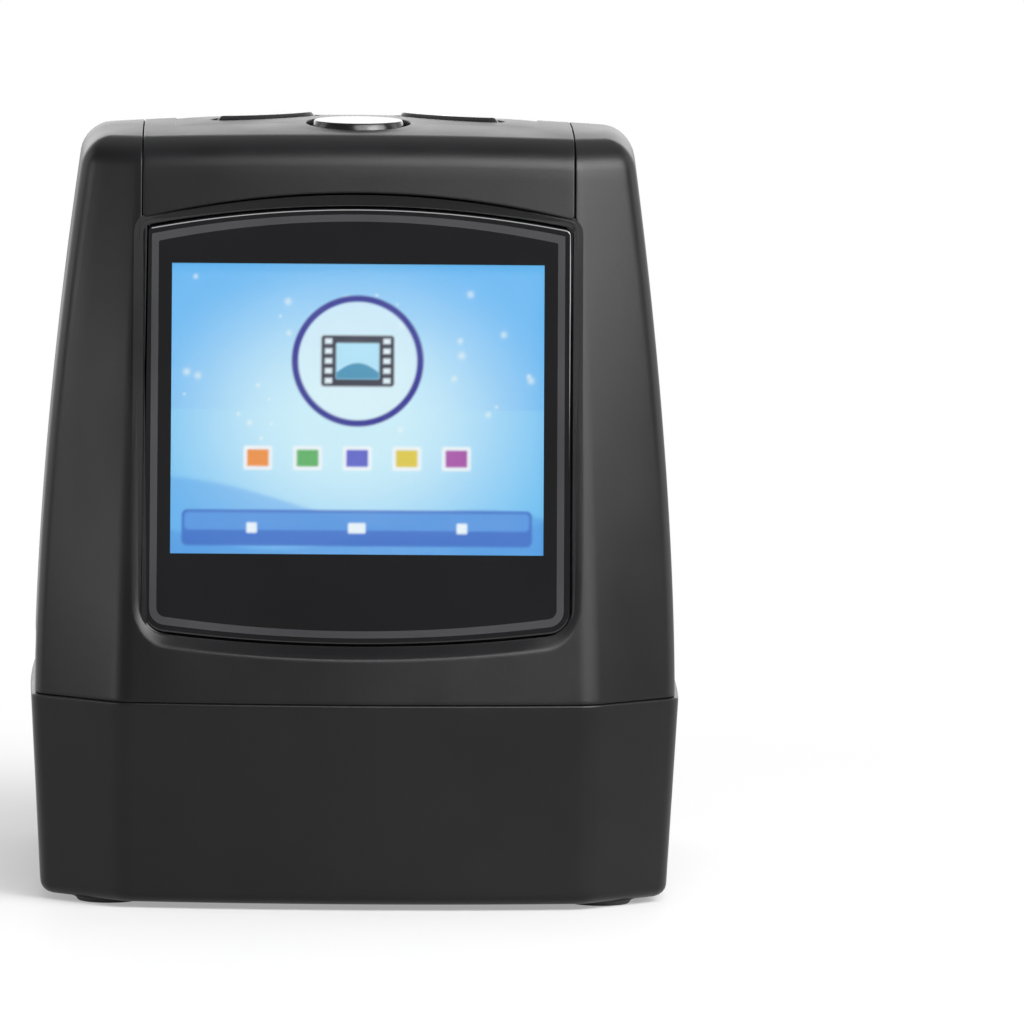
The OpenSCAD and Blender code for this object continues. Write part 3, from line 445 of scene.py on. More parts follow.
def coverDistance(p):
    return np.where(p[:, 1] < 1, np.maximum(lipDistance(p), sideDistance(p)), apronDistance(p))


def slopePlace(p):
    # across, up the slope, and out of the slope of the front
    y, z = p[:, 1] - tower["front"], p[:, 2] - tower["seam"]
    return p[:, 0], y * sinTilt + z * cosTilt, z * sinTilt - y * cosTilt


def slopePoint(u, v, w):
    return np.array([u, tower["front"] + v * sinTilt - w * cosTilt,
                     tower["seam"] + v * cosTilt + w * sinTilt])


def windowReach(u, v):
    # distance outside the window's outline, and the bevel's width there
    w = windowForm
    across = np.clip(np.abs(u) / w["half"], 0, 1.1)
    side = np.abs(u) - w["half"]
    low = w["low"] + w["sag"] * across ** 2 - v
    high = v - w["high"] + w["arch"] * across ** 2
    vertical = np.maximum(low, high)
    r = np.where(low > high, w["rLow"], w["rHigh"])
    ax, av = side + r, vertical + r
    both = (ax > 0) & (av > 0)
    distance = np.where(both, np.hypot(np.maximum(ax, 0), np.maximum(av, 0)) - r,
                        np.maximum(side, vertical))
    share = np.where(both, ax ** 2 / np.maximum(ax ** 2 + av ** 2, 1e-9), (side > vertical).astype(float))
    bow = np.sin(np.radians(np.clip(155 * (w["high"] - v) / (w["high"] - w["low"]), 2, 155))) ** 0.6
    wide = np.where(low > high, w["bevel"], w["mouthTop"])
    return distance, mixed(wide, w["gap"] + w["flare"] * bow, share)


def holeDistance(p):
    u, v, _ = slopePlace(p)
    return windowReach(u, v)[0] - windowForm["gap"]


def bevelShare(p):
    u, v, _ = slopePlace(p)
    distance, width = windowReach(u, v)
    return (distance - windowForm["gap"]) / np.maximum(width - windowForm["gap"], 0.2)


def recessMove(p):
    # how the recess carries the front skin inwards
    _, _, w = slopePlace(p)
    share = bevelShare(p)
    soft = np.where(share < 0.85, share, np.where(share > 1.15, 1, share - (share - 0.85) ** 2 / 0.6))
    target = mixed(-windowForm["recess"], w, np.clip(soft, 0, 1))
    depth = np.where((p[:, 1] < -18) & (p[:, 2] > 29) & (share < 1.15), target - w, 0)
    return depth[:, None] * np.array([0, -cosTilt, sinTilt])


frontOnly = lambda p: (p[:, 1] < -20) & (np.abs(p[:, 0]) < 33) & (p[:, 2] > 29)
rearOnly = lambda p: p[:, 1] > 12
sidesOnly = lambda p: (np.abs(p[:, 0]) > 34) & (p[:, 2] < 42)


def levelsBetween(low, high, spacing):
    return list(np.linspace(low, high, max(2, int(round((high - low) / spacing)) + 1)))


def topRounding(count=9):
    r = tower["topR"]
    return [(tower["top"] - r * (1 - math.sin(a)), r * (1 - math.cos(a)))
            for a in np.linspace(0, math.pi / 2, count)[1:]]


# materials
def node(tree, kind, settings=None, **inputs):
    # a node whose inputs are values or outputs, by name with _ for spaces, or by place as i0 to i3
    made = tree.nodes.new(kind)
    for key, value in (settings or {}).items():
        setattr(made, key, value)
    for key, value in inputs.items():
        socket = made.inputs[int(key[1]) if key in ("i0", "i1", "i2", "i3") else key.replace("_", " ")]
        if isinstance(value, bpy.types.NodeSocket):
            tree.links.new(value, socket)
        else:
            socket.default_value = value
    return made


def calc(tree, a, b, operation="MULTIPLY"):
    return node(tree, "ShaderNodeMath", {"operation": operation}, i0=a, i1=b).outputs[0]


def nodeGroup(name, kind, inputs, outputs):
    tree = bpy.data.node_groups.new(name, kind)
    for label, shape, value in inputs:
        socket = tree.interface.new_socket(label, in_out="INPUT", socket_type="NodeSocket" + shape)
        if value is not None:
            socket.default_value = value
    for label, shape in outputs:
        tree.interface.new_socket(label, in_out="OUTPUT", socket_type="NodeSocket" + shape)
    return tree, tree.nodes.new("NodeGroupInput").outputs, tree.nodes.new("NodeGroupOutput").inputs


def grainGroup():
    # fine moulded grain: breaks up colour, roughness and the surface by a little
    tree, given, result = nodeGroup("mouldGrain", "ShaderNodeTree", [
        ("Colour", "Color", (0.02, 0.02, 0.02, 1)), ("Unevenness", "Float", 0.15),
        ("Grain", "Float", 4000.0), ("Roughness", "Float", 0.4), ("Spread", "Float", 0.05),
        ("Depth", "Float", 0.00001)], [("Colour", "Color"), ("Roughness", "Float"), ("Normal", "Vector")])
    place = node(tree, "ShaderNodeTexCoord").outputs["Object"]
    fine = node(tree, "ShaderNodeTexNoise", Vector=place, Scale=given["Grain"], Detail=2.0, Roughness=0.6)
    broad = node(tree, "ShaderNodeTexNoise", Vector=place, Scale=60.0, Detail=3.0)
    swing = node(tree, "ShaderNodeMapRange", {"clamp": False}, Value=broad.outputs["Fac"],
                 From_Min=0.3, From_Max=0.7, To_Min=-1.0, To_Max=1.0).outputs["Result"]
    mulAdd = {"operation": "MULTIPLY_ADD"}
    wear = node(tree, "ShaderNodeMath", mulAdd, i0=swing, i1=given["Spread"], i2=given["Roughness"])
    shade = node(tree, "ShaderNodeMath", mulAdd, i0=swing, i1=given["Unevenness"], i2=1.0)
    tinted = node(tree, "ShaderNodeVectorMath", {"operation": "SCALE"}, i0=given["Colour"],
                  Scale=shade.outputs[0])
    bump = node(tree, "ShaderNodeBump", Strength=1.0, Distance=given["Depth"], Height=fine.outputs["Fac"])
    for label, made in (("Colour", tinted), ("Roughness", wear), ("Normal", bump)):
        tree.links.new(made.outputs[0], result[label])
    return tree


mouldGrain = grainGroup()


def grained(name, ends, **values):
    # a material whose colour, roughness and normal pass through the shared grain
    material = bpy.data.materials.new(name)
    material.use_nodes = True
    tree = material.node_tree
    shader = tree.nodes["Principled BSDF"]
    effect = node(tree, "ShaderNodeGroup", {"node_tree": mouldGrain}, **values)
    for start, end in ends.items():
        tree.links.new(effect.outputs[start], shader.inputs[end])
    return material, tree, shader


def makeMaterial(name, colour, roughness, grain=4000.0, depth=0.00001, unevenness=0.12, spread=0.04,
                 **constants):
    ends = {"Colour": "Base Color", "Roughness": "Roughness", "Normal": "Normal"}
    material, _, shader = grained(name, ends, Colour=(*colour, 1), Roughness=roughness, Grain=grain,
                                  Depth=depth, Unevenness=unevenness, Spread=spread)
    for key, value in constants.items():
        shader.inputs[key.replace("_", " ")].default_value = value
    return material


looks = {
    "shellBlack": makeMaterial("shellBlack", (0.0045, 0.0045, 0.005), 0.36, 5200, 0.000012,
                               Specular_IOR_Level=0.2),
    "gloss": makeMaterial("keyGloss", (0.006, 0.006, 0.0066), 0.22, 900, 0.000001, spread=0.02,
                          Specular_IOR_Level=0.3),
    "windowBlack": makeMaterial("windowBlack", (0.004, 0.004, 0.0045), 0.035, 300, 0.0, spread=0.01),
    "windowBand": makeMaterial("windowBand", (0.028, 0.028, 0.03), 0.05, 300, 0.0, spread=0.01),
    "windowClear": makeMaterial("windowClear", (1, 1, 1), 0.02, 300, 0.0, 0.0, 0.0, Transmission_Weight=1.0,
                                IOR=1.49),
    "innerBlack": makeMaterial("innerBlack", (0.012, 0.012, 0.012), 0.6, 3000, 0.00002),
    "boardGreen": makeMaterial("boardGreen", (0.01, 0.075, 0.03), 0.35, 2500, 0.000006),
    "chipBlack": makeMaterial("chipBlack", (0.015, 0.015, 0.016), 0.5, 6000, 0.00001),
    "screwSteel": makeMaterial("screwSteel", (0.55, 0.55, 0.56), 0.28, 5000, 0.000004, Metallic=1.0),
    "socketSteel": makeMaterial("socketSteel", (0.62, 0.62, 0.64), 0.24, 5000, 0.000004, Metallic=1.0),
    "whitePlastic": makeMaterial("whitePlastic", (0.78, 0.78, 0.77), 0.4, 4000, 0.00001, 0.04),
    "opalPlastic": makeMaterial("opalPlastic", (0.85, 0.85, 0.84), 0.5, 4000, 0.00001, 0.03,
                                Transmission_Weight=0.3),
    "clearPlastic": makeMaterial("clearPlastic", (0.8, 0.86, 0.82), 0.08, 2000, 0.0, 0.02, 0.02,
                                 Transmission_Weight=0.7),
    "lensGlass": makeMaterial("lensGlass", (0.97, 0.98, 1.0), 0.02, 500, 0.0, 0.0, 0.0,
                              Transmission_Weight=1.0),
    "ribbonAmber": makeMaterial("ribbonAmber", (0.35, 0.16, 0.03), 0.3, 2000, 0.000005),
    "footRubber": makeMaterial("footRubber", (0.02, 0.02, 0.02), 0.75, 3500, 0.00003),
    "signRed": makeMaterial("signRed", (0.65, 0.02, 0.015), 0.35, 4000, 0.0, 0.05),
    "signGreen": makeMaterial("signGreen", (0.06, 0.5, 0.12), 0.35, 4000, 0.0, 0.05),
    "signWhite": makeMaterial("signWhite", (0.8, 0.8, 0.8), 0.35, 4000, 0.0, 0.03),
    "printGrey": makeMaterial("printGrey", (0.3, 0.3, 0.3), 0.4, 4000, 0.0, 0.05),
}
print("materials made:", len(looks))


# upper shell and top cover
keys = {"leafX": 12.2, "leafY": (6.0, -8.0), "leafTurn": 31, "roundY": -16.9, "lampY": -1.5, "lampR": 0.9,
        "half": 7.55, "wide": 3.2, "tip": 1.2, "roundR": 6.2, "gap": 0.75, "leafProud": 0.4,
        "roundProud": 0.3, "grow": 1.3, "pressGap": 0.1, "archSag": 0.0814}
keyNames = ("power", "menu", "left", "right", "scan")
keyPlaces = [(i * keys["leafX"], keys["leafY"][j], i * keys["leafTurn"] * (1 - 2 * j))
             for j in (0, 1) for i in (-1, 1)] + [(0, keys["roundY"], 0)]   # across, back and turn
leafRun, leafRise = keys["half"] - keys["tip"], keys["wide"] - keys["tip"]
leafArc = (leafRun ** 2 + keys["wide"] ** 2 - keys["tip"] ** 2) / (2 * leafRise)


def leafOutline(g, count=18, tipCount=8):
    # two wide arcs meeting in two small round tips, grown by g
    r, arc = keys["tip"] + g, leafArc + g
    shift = leafArc - keys["wide"]
    c = keys["half"] - keys["tip"]
    t = math.atan2(c, shift)
    wide = [(arc * math.sin(q), shift - arc * math.cos(q)) for q in np.linspace(-t, t, count + 1)]
    tipTurns = np.linspace(t - math.pi / 2, math.pi / 2 - t, tipCount + 1)[1:-1]
    tip = [(c + r * math.cos(q), r * math.sin(q)) for q in tipTurns]
    half = wide + tip
    return np.array(half + [(-x, -y) for x, y in half])


def keyOutline(i, g):
    x, y, turn = keyPlaces[i]
    if i == 4:
        a = np.linspace(0, 2 * math.pi, 73)[:-1]
        points = np.stack([np.cos(a), np.sin(a)], 1) * (keys["roundR"] + g)
    else:
        c, s = math.cos(math.radians(turn)), math.sin(math.radians(turn))
        points = leafOutline(g) @ np.array([[c, s], [-s, c]])
    return points + [x, y]


def keyTop(i, x, y):
    # a button's top lies level with the arched top under it; the round one leans less
    sx, sy, _ = keyPlaces[i]
    proud, lean = (keys["leafProud"], 1.0) if i < 4 else (keys["roundProud"], 0.5)
    fall = (x - sx) * sx / tower["roofRx"] + (y - sy) * (sy - tower["crownY"]) / tower["roofR"]
    return roofAt(sx, sy) + proud - lean * fall


def keyIn(i):
    # lowest point of the cover's inner side over a button's flange
    line = keyOutline(i, keys["grow"])
    return roofAt(line[:, 0], line[:, 1]).min() - tower["wall"] - keys["archSag"]


def keyReach(i, p):
    # distance outside button i's outline
    x, y, turn = keyPlaces[i]
    q = p[:, :2] - [x, y]
    if i == 4:
        return np.hypot(q[:, 0], q[:, 1]) - keys["roundR"]
    c, s = math.cos(math.radians(turn)), math.sin(math.radians(turn))
    u, v = np.abs(q[:, 0] * c + q[:, 1] * s), np.abs(q[:, 1] * c - q[:, 0] * s)
    end, shift = keys["half"] - keys["tip"], leafArc - keys["wide"]
    beyond = (u - end) * shift > v * end
    wide = np.hypot(u, v + shift) - (leafArc - keys["tip"])
    return np.where(beyond, np.hypot(u - end, v), wide) - keys["tip"]


# radii of the softened edges, and half the gap at the seam
edges = {"cover": 0.14, "slot": 0.35, "seam": 0.2, "hole": 0.16, "base": 0.3, "port": 0.2, "seamGap": 0.08}
slotForm = {"half": 25, "top": 34.6}
bevelCuts = (0.28, 0.56, 0.85, 1.0, 1.15, 1.32)
upperCounts = (44, 6, 4, 26, 30)
upperLow = tower["seam"] + edges["seamGap"]
seamLevels = [upperLow + d for d in sorted(roundLevels(edges["seam"]))]
wallLevels = levelsBetween(28.0, tower["top"] - tower["topR"], 1.45)
guardRing = (tower["top"], 3.5)   # the rounding's inner border, before the arched top starts
upperLevels = [(z, 0) for z in seamLevels + wallLevels] + topRounding() + [guardRing]


def fallFrom(distance, edge, within=True):
    return np.where(within, edgeDrop(np.maximum(distance, 0), edges[edge]), 0)


def upperShell():
    verts, faces = towerSkin(upperLevels, upperCounts, topLoops=[])
    loose = np.ones(len(verts), bool)
    loose[len(upperLevels[:-1]) * (len(verts) // len(upperLevels)):] = False
    gap = coverForm["gap"]
    cuts = [(coverDistance, gap + d) for d in roundLevels(edges["cover"], 3) + [0.26]]
    cuts += [(slotReach, d, sidesOnly) for d in roundLevels(edges["slot"], 3) + [0.6]]
    cuts += [(holeDistance, 0, frontOnly)] + [(bevelShare, share, frontOnly) for share in bevelCuts]
    verts, faces = cutSkin(verts, faces, loose, cuts)
    normals = faceNormals(verts, faces)
    faces = keepFaces(verts, faces, lambda p: coverDistance(p) - gap)
    faces = keepFaces(verts, faces, slotReach, sidesOnly)
    faces = keepFaces(verts, faces, holeDistance, frontOnly)
    moved = verts + recessMove(verts)
    fall = np.maximum.reduce([fallFrom(coverDistance(verts) - gap, "cover"),
                              fallFrom(verts[:, 2] - upperLow, "seam"),
                              fallFrom(slotReach(verts), "slot", sidesOnly(verts))])
    return skinSolid(faces, moved - normals * fall[:, None], moved - normals * tower["wall"])


def slotReach(p):
    return np.maximum(np.abs(p[:, 1]) - slotForm["half"], p[:, 2] - slotForm["top"])


def circleLoop(x, y, r, count=48):
    a = np.linspace(0, 2 * math.pi, count + 1)[:-1]
    return np.stack([x + r * np.cos(a), y + r * np.sin(a)], 1)


def post(x, y, profile, tube=False, place=None):
    # a turned solid over a spot, from (radius, height) pairs; place carries it to a slope
    rings = [[(px, py, z) if place is None else place(px, py, z) for px, py in circleLoop(x, y, r, 28)]
             for r, z in profile]
    return facing(loopStack(rings) if tube else ringStack(rings))


# the faint step on the cover's top that frames the buttons, drawn round the front one
plate = {"x": 24.3, "low": -17.8, "high": 16.5, "r": 9.3, "deep": 0.14, "soft": 0.3}


def plateLine(grow):
    x, low, high, r = plate["x"] + grow, plate["low"] - grow, plate["high"] + grow, plate["r"] + grow
    cross = math.acos((keys["roundY"] - low) / r)
    arc = [(r * math.sin(a), keys["roundY"] - r * math.cos(a)) for a in np.linspace(-cross, cross, 31)]
    corners = arc + [(x, low), (x, high), (-x, high), (-x, low), arc[0]]
    line = []
    for a, b in zip(corners, corners[1:]):   # points close enough to follow the arch
        count = max(1, round(math.dist(a, b) / 1.7))
        line += [(mixed(a[0], b[0], k / count), mixed(a[1], b[1], k / count)) for k in range(count)]
    return line


def plateReach(p):
    x, y = np.abs(p[:, 0]), p[:, 1]
    box = np.maximum(x - plate["x"], np.maximum(plate["low"] - y, y - plate["high"]))
    return np.minimum(box, np.hypot(x, y - keys["roundY"]) - plate["r"])


scoop = {"r": 100.0, "deep": 1.7, "high": 3.7, "half": 14.8, "mid": 91.2, "slot": 1.55, "soft": 0.12}


def scoopDepth(p):
    # how far the finger scoop lies behind the rear skin
    s = scoop
    z = p[:, 2] - (s["mid"] - s["slot"])
    r = np.where(z > 0, s["r"], s["r"] + np.minimum(z, 0) / s["high"] * (s["deep"] + 0.8))
    floor = backAt(s["mid"]) + s["r"] - s["deep"] - np.sqrt(np.maximum(r * r - p[:, 0] ** 2, 0))
    depth = p[:, 1] - floor
    top = (s["mid"] + s["slot"] - p[:, 2]) / s["soft"]
    near = rearOnly(p) & (p[:, 2] > 84)
    return np.where(near, np.minimum(depth, depth * np.clip(top, -1, 1)), -1)


def cardReach(p):
    s = scoop
    return np.maximum(np.abs(p[:, 0]) - s["half"], np.abs(p[:, 2] - s["mid"]) - s["slot"])


def plateSink(reach):
    # the framed field lies a little lower at its edge and comes up again inside
    p = plate
    edge = np.clip(-reach / 0.1, 0, 1)
    return np.where(reach > 0, 0, p["deep"] * edge * np.clip(1 - (-reach - 0.1) / 3.0, 0, 1))


def topCover():
    rounding = roundLevels(edges["hole"], 3) + [0.3]
    loops = [keyOutline(i, keys["gap"] + d) for i in range(5) for d in rounding]
    ring = np.linspace(0, 2 * math.pi, 25)[:-1]
    loops += [np.stack([r * np.cos(ring), keys["lampY"] + r * np.sin(ring)], 1)
              for r in (keys["lampR"], 0.94, 1.02, 1.2)]
    loops += [plateLine(d) for d in (-plate["soft"], -0.1, 0)]
    verts, faces = towerSkin(upperLevels, upperCounts, topLoops=loops)
    loose = np.ones(len(verts), bool)
    loose[(len(upperLevels) - 1) * len(outlineRing(50, 0, 0, upperCounts)):] = False
    heights = (scoop["mid"] + scoop["slot"] - scoop["soft"], scoop["mid"] - scoop["slot"])
    cuts = [(coverDistance, -d) for d in roundLevels(edges["cover"], 3) + [0.26]]
    cuts += [(scoopDepth, 0, rearOnly)] + [(lambda p: p[:, 2], z, rearOnly) for z in heights]
    verts, faces = cutSkin(verts, faces, loose, cuts + [(cardReach, 0, rearOnly)])
    normals = faceNormals(verts, faces)
    faces = keepFaces(verts, faces, lambda p: -coverDistance(p))
    faces = keepFaces(verts, faces, cardReach, rearOnly)
    topOnly = lambda p: np.abs(p[:, 2] - roofAt(p[:, 0], p[:, 1])) < 0.03
    lamp = lambda p: np.hypot(p[:, 0], p[:, 1] - keys["lampY"]) - keys["lampR"]
    hole = lambda p: np.minimum.reduce([keyReach(i, p) - keys["gap"] for i in range(5)] + [lamp(p)])
    faces = keepFaces(verts, faces, hole, topOnly)
    depth = np.maximum(scoopDepth(verts), 0)
    fall = np.maximum.reduce([fallFrom(-coverDistance(verts), "cover"),
                              fallFrom(hole(verts), "hole", topOnly(verts)),
                              np.where(topOnly(verts), plateSink(plateReach(verts)), 0)])
    inner = verts - normals * tower["wall"]
    outer = verts - normals * fall[:, None] - depth[:, None] * np.array([0, 1, 0])
    inner[:, 1] = np.where(depth > 0, np.minimum(inner[:, 1], outer[:, 1] - 1.2), inner[:, 1])
    return skinSolid(faces, outer, inner)


inside = {"keyBoard": 94.2, "bossX": 21.5, "bossY": (-20.5, 21.4), "bossR": 2.4, "screwHole": 0.9,
          "padY": (27.05, 28.8), "padX": 19.5, "padZ": (85.6, 95.2), "railY": (-25.0, 23.4),
          "railHigh": 1.6, "railHalf": 2, "sleeveR": 3.2, "screwX": 24.6, "screwY": 34.5,
          "sleeveBore": 1.5, "sleeveThread": (1.0, 34.4), "sleeveTop": (35.8, 44.4),
          "mountX": 22.0, "mountV": (14.8, 62.8), "mountR": 2.0}


def coverInside():
    # screw bosses over the key board, and the pad round the card slot
    n, c = inside, scoop
    parts = []
    for x in (-n["bossX"], n["bossX"]):
        for y in n["bossY"]:
            low = n["keyBoard"]
            high = roofAt(x, y) - tower["wall"] / 2
            hole = [(n["screwHole"], low + 4), (n["screwHole"], low)]
            parts.append(post(x, y, hole + [(n["bossR"], low), (n["bossR"], high)]))
    (y0, y1), (z0, z1), pad = n["padY"], n["padZ"], n["padX"]
    slotLow, slotHigh = c["mid"] - c["slot"], c["mid"] + c["slot"]
    for x0, x1, low, high in ((-pad, pad, z0, slotLow), (-pad, pad, slotHigh, z1),
                              (-pad, -c["half"], slotLow, slotHigh), (c["half"], pad, slotLow, slotHigh)):
        parts.append(facing(boxSolid((x0, y0, low), (x1, y1, high))))
    return parts


newPiece("topCover", *joined([topCover()] + coverInside()), looks["shellBlack"], replaced=["top_cover"],
         slot="shell_black")
print("top cover built")

# base shell
baseLevels = [(tower["foot"], tower["footR"] + 0.3)]
for a in np.linspace(0, math.pi / 2, 8):
    baseLevels.append((tower["foot"] + tower["footR"] * (1 - math.cos(a)),
                       tower["footR"] * (1 - math.sin(a))))
baseLevels += [(z, 0) for z in levelsBetween(3.6, 26.6, 1.9)]
baseLevels += [(tower["seam"] - d, 0) for d in roundLevels(edges["base"], 4)]
baseCounts = (44, 6, 4, 26, 60)


def fourWays(x, y, *z):
    return [(i * x, j * y, *z) for i in (-1, 1) for j in (-1, 1)]


screwSpots = fourWays(inside["screwX"], inside["screwY"])
footSpots = fourWays(32.5, 30.0)
footHole = {"r": 4.7, "deep": 1.0}
boreRings, footRings = (3.0, 3.05, 3.2, 3.5), (4.55, 4.65, 4.75, 5.1)   # radii drawn on the floor


def nearest(p, spots, r):
    return np.minimum.reduce([np.hypot(p[:, 0] - x, p[:, 1] - y) for x, y in spots]) - r


ports = {"usbHalf": 4.0, "usbHigh": 2.1, "usbZ": 9.6, "jackX": -15.5, "jackZ": 10.05, "jackR": 2.65}


def portReach(p):
    usb = np.maximum(np.abs(p[:, 0]) - ports["usbHalf"], np.abs(p[:, 2] - ports["usbZ"]) - ports["usbHigh"])
    jack = np.hypot(p[:, 0] - ports["jackX"], p[:, 2] - ports["jackZ"]) - ports["jackR"]
    return np.minimum(usb, jack)


def baseShell():
    loops = [circleLoop(x, y, r) for x, y in screwSpots for r in boreRings]
    loops += [circleLoop(x, y, r) for x, y in footSpots for r in footRings]
    verts, faces = towerSkin(baseLevels, baseCounts, tower["baseStep"], floorLoops=loops)
    cuts = [(portReach, d, rearOnly) for d in roundLevels(edges["port"], 3) + [0.4]]
    verts, faces = cutSkin(verts, faces, np.ones(len(verts), bool), cuts)
    normals = faceNormals(verts, faces)
    floorOnly = lambda p: p[:, 2] < tower["foot"] + 0.01
    bores = lambda p: nearest(p, screwSpots, baseInside["bore"])
    faces = keepFaces(verts, faces, portReach, rearOnly)
    faces = keepFaces(verts, faces, bores, floorOnly)
    fall = np.maximum.reduce([fallFrom(tower["seam"] - verts[:, 2], "base"),
                              fallFrom(portReach(verts), "port", rearOnly(verts)),
                              fallFrom(bores(verts), "port", floorOnly(verts))])
    outer = verts - normals * fall[:, None]
    sunk = floorOnly(verts) & (nearest(verts, footSpots, footHole["r"]) < 0)
    outer[sunk, 2] += footHole["deep"]
    inner = verts - normals * tower["wall"]
    return skinSolid(faces, outer, inner)


baseInside = {"floor": 3.0, "top": 27.3, "bossR": 4.2, "bore": 3.0, "boreTop": 15.8, "hole": 1.6,
              "ear": (33.0, 29.6, 2.6), "lampPost": (19.5, 13.5, 2.2, 10.0), "socketTop": 6.05,
              "socketPosts": ((-16.5, 24.54), (9.0, 24.54), (9.0, 35.24)),
              "bladeX": (36.2, 37.8), "bladeY": 22.0, "bladeTop": 25.8}


def baseInner():
    # screw bosses, posts under the boards, and the two blades that carry the film tray
    n = baseInside
    low = n["floor"] - 0.4
    bored = [(n["bossR"], low), (n["bossR"], n["top"]), (n["hole"], n["top"]), (n["hole"], n["boreTop"]),
             (n["bore"], n["boreTop"]), (n["bore"], low)]
    parts = [post(x, y, bored, tube=True) for x, y in screwSpots]
    hole = inside["screwHole"]
    deep = lambda top: max(low + 0.2, top - 5.5)
    solid = lambda x, y, r, top: post(x, y, [(r, low), (r, top), (hole, top), (hole, deep(top))])
    for x in (-1, 1):
        for y in (-1, 1):
            parts.append(solid(x * n["ear"][0], y * n["ear"][1], n["ear"][2], n["top"]))
            parts.append(solid(x * n["lampPost"][0], y * n["lampPost"][1], *n["lampPost"][2:]))
        near, far = sorted(x * place for place in n["bladeX"])
        parts.append(facing(boxSolid((near, -n["bladeY"], low), (far, n["bladeY"], n["bladeTop"]))))
    return parts + [solid(x, y, n["lampPost"][2], n["socketTop"]) for x, y in n["socketPosts"]]


newPiece("baseShell", *joined([baseShell()] + baseInner()), looks["shellBlack"], replaced=["base_housing"],
         slot="shell_black")
print("base shell built")


# the window, with its border printed behind the glass, and the lit panel
def windowOutline(grow, count=28):
    # the window's outline grown by grow, counterclockwise from the lower left
    w = windowForm
    half, low, high = w["half"] + grow, w["low"] - grow, w["high"] + grow
    corners = [(-half, low + w["sag"], w["rLow"] + grow), (half, low + w["sag"], w["rLow"] + grow),
               (half, high - w["arch"], w["rHigh"] + grow), (-half, high - w["arch"], w["rHigh"] + grow)]
    inLow = [np.array([u * half, low + w["sag"] * u * u]) for u in np.linspace(-1, 1, count + 1)]
    inHigh = [np.array([-u * half, high - w["arch"] * u * u]) for u in np.linspace(-1, 1, count + 1)]
    slopeLow, slopeHigh = 2 * w["sag"] / half, 2 * w["arch"] / half
    ways = ([1, -slopeLow], [1, slopeLow], [0, 1], [-1, slopeHigh], [-1, -slopeHigh], [0, -1])
    dirs = [unit(way) for way in ways]
    points = []
    for (x, y, r), dirIn, dirOut in ((corners[0], dirs[5], dirs[0]), (corners[1], dirs[1], dirs[2]),
                                     (corners[2], dirs[2], dirs[3]), (corners[3], dirs[4], dirs[5])):
        arc, length = roundedCorner(np.array([x, y]), dirIn, dirOut, max(r, 0.25), 6)
        points.append((arc, length))
    out = list(points[0][0]) + [q for q in inLow if abs(q[0]) < half - points[0][1] - 0.8]
    out += list(points[1][0]) + list(points[2][0])
    out += [q for q in inHigh if abs(q[0]) < half - points[2][1] - 0.8] + list(points[3][0])
    return np.array(out)


def rectangleLoop(u0, v0, u1, v1):
    return np.array([(u0, v0), (u1, v0), (u1, v1), (u0, v1)])


screenForm = {"wide": 49.0, "high": 38.4, "mid": 39.2, "panelWide": 55.5, "panelHigh": 42.0,
              "front": -5.2, "thick": 2.7, "back": -10.4}


def windowPiece():
    w, s = windowForm, screenForm
    front, back = -w["recess"], -w["recess"] - w["thick"]
    e = 0.28
    stack = [(-0.22, back), (-0.1, back), (0, back + 0.1), (0, front - e)]
    for a in np.linspace(0, math.pi / 2, 5)[1:]:
        stack.append((-e * (1 - math.cos(a)), front - e * (1 - math.sin(a))))
    rings = [[(u, v, h) for u, v in windowOutline(g)] for g, h in stack + [(-e - 0.12, front)]]
    verts, faces = ringStack(rings, False, False)
    kinds = [0] * len(faces)
    # a band is printed 0.9 in from the edge, and the opening before the panel stays clear
    band = [windowOutline(-0.87), windowOutline(-1.8)]
    opening = rectangleLoop(-s["wide"] / 2, s["mid"] - s["high"] / 2, s["wide"] / 2,
                            s["mid"] + s["high"] / 2)
    count = len(rings[0])
    sides = ((rings[-1], (len(rings) - 1) * count, front, True, band + [opening]),
             (rings[0], 0, back, False, [opening]))
    for ring, first, height, upward, loops in sides:
        extra, filled = flatFill(ring, loops, lambda u, v: height, upward)
        base = len(verts)
        verts += extra
        for face in filled:
            face = [first + i if i < count else base + i - count for i in face]
            faces.append(tuple(face))
            middle = np.mean([verts[i][:2] for i in face], 0)[None]
            outer, inner = (insideLoop(middle, line)[0] for line in band)
            inBand = upward and outer and not inner
            kinds.append(2 if insideLoop(middle, opening)[0] else 1 if inBand else 0)
    return [slopePoint(*q) for q in verts], faces, kinds


def plateSolid(outer, hole, low, high):
    # a flat plate on the front slope with an opening
    verts, faces = [], []
    for height, upward in ((high, True), (low, False)):
        extra, filled = flatFill([(u, v, height) for u, v in outer], [hole], lambda u, v: height, upward)
        cap = [(u, v, height) for u, v in outer] + extra
        kept = [f for f in filled if not insideLoop(np.mean([cap[i][:2] for i in f], 0)[None], hole)[0]]
        faces += [tuple(i + len(verts) for i in f) for f in kept]
        verts += cap
    for loop, outwards in ((outer, True), (hole, False)):
        wall = loop if outwards else loop[::-1]
        base, count = len(verts), len(wall)
        verts += [(u, v, low) for u, v in wall] + [(u, v, high) for u, v in wall]
        steps = [(base + k, base + (k + 1) % count) for k in range(count)]
        faces += [(a, b, b + count, a + count) for a, b in steps]
    verts, faces = welded(verts, faces)
    return facing(([slopePoint(*q) for q in verts], faces))


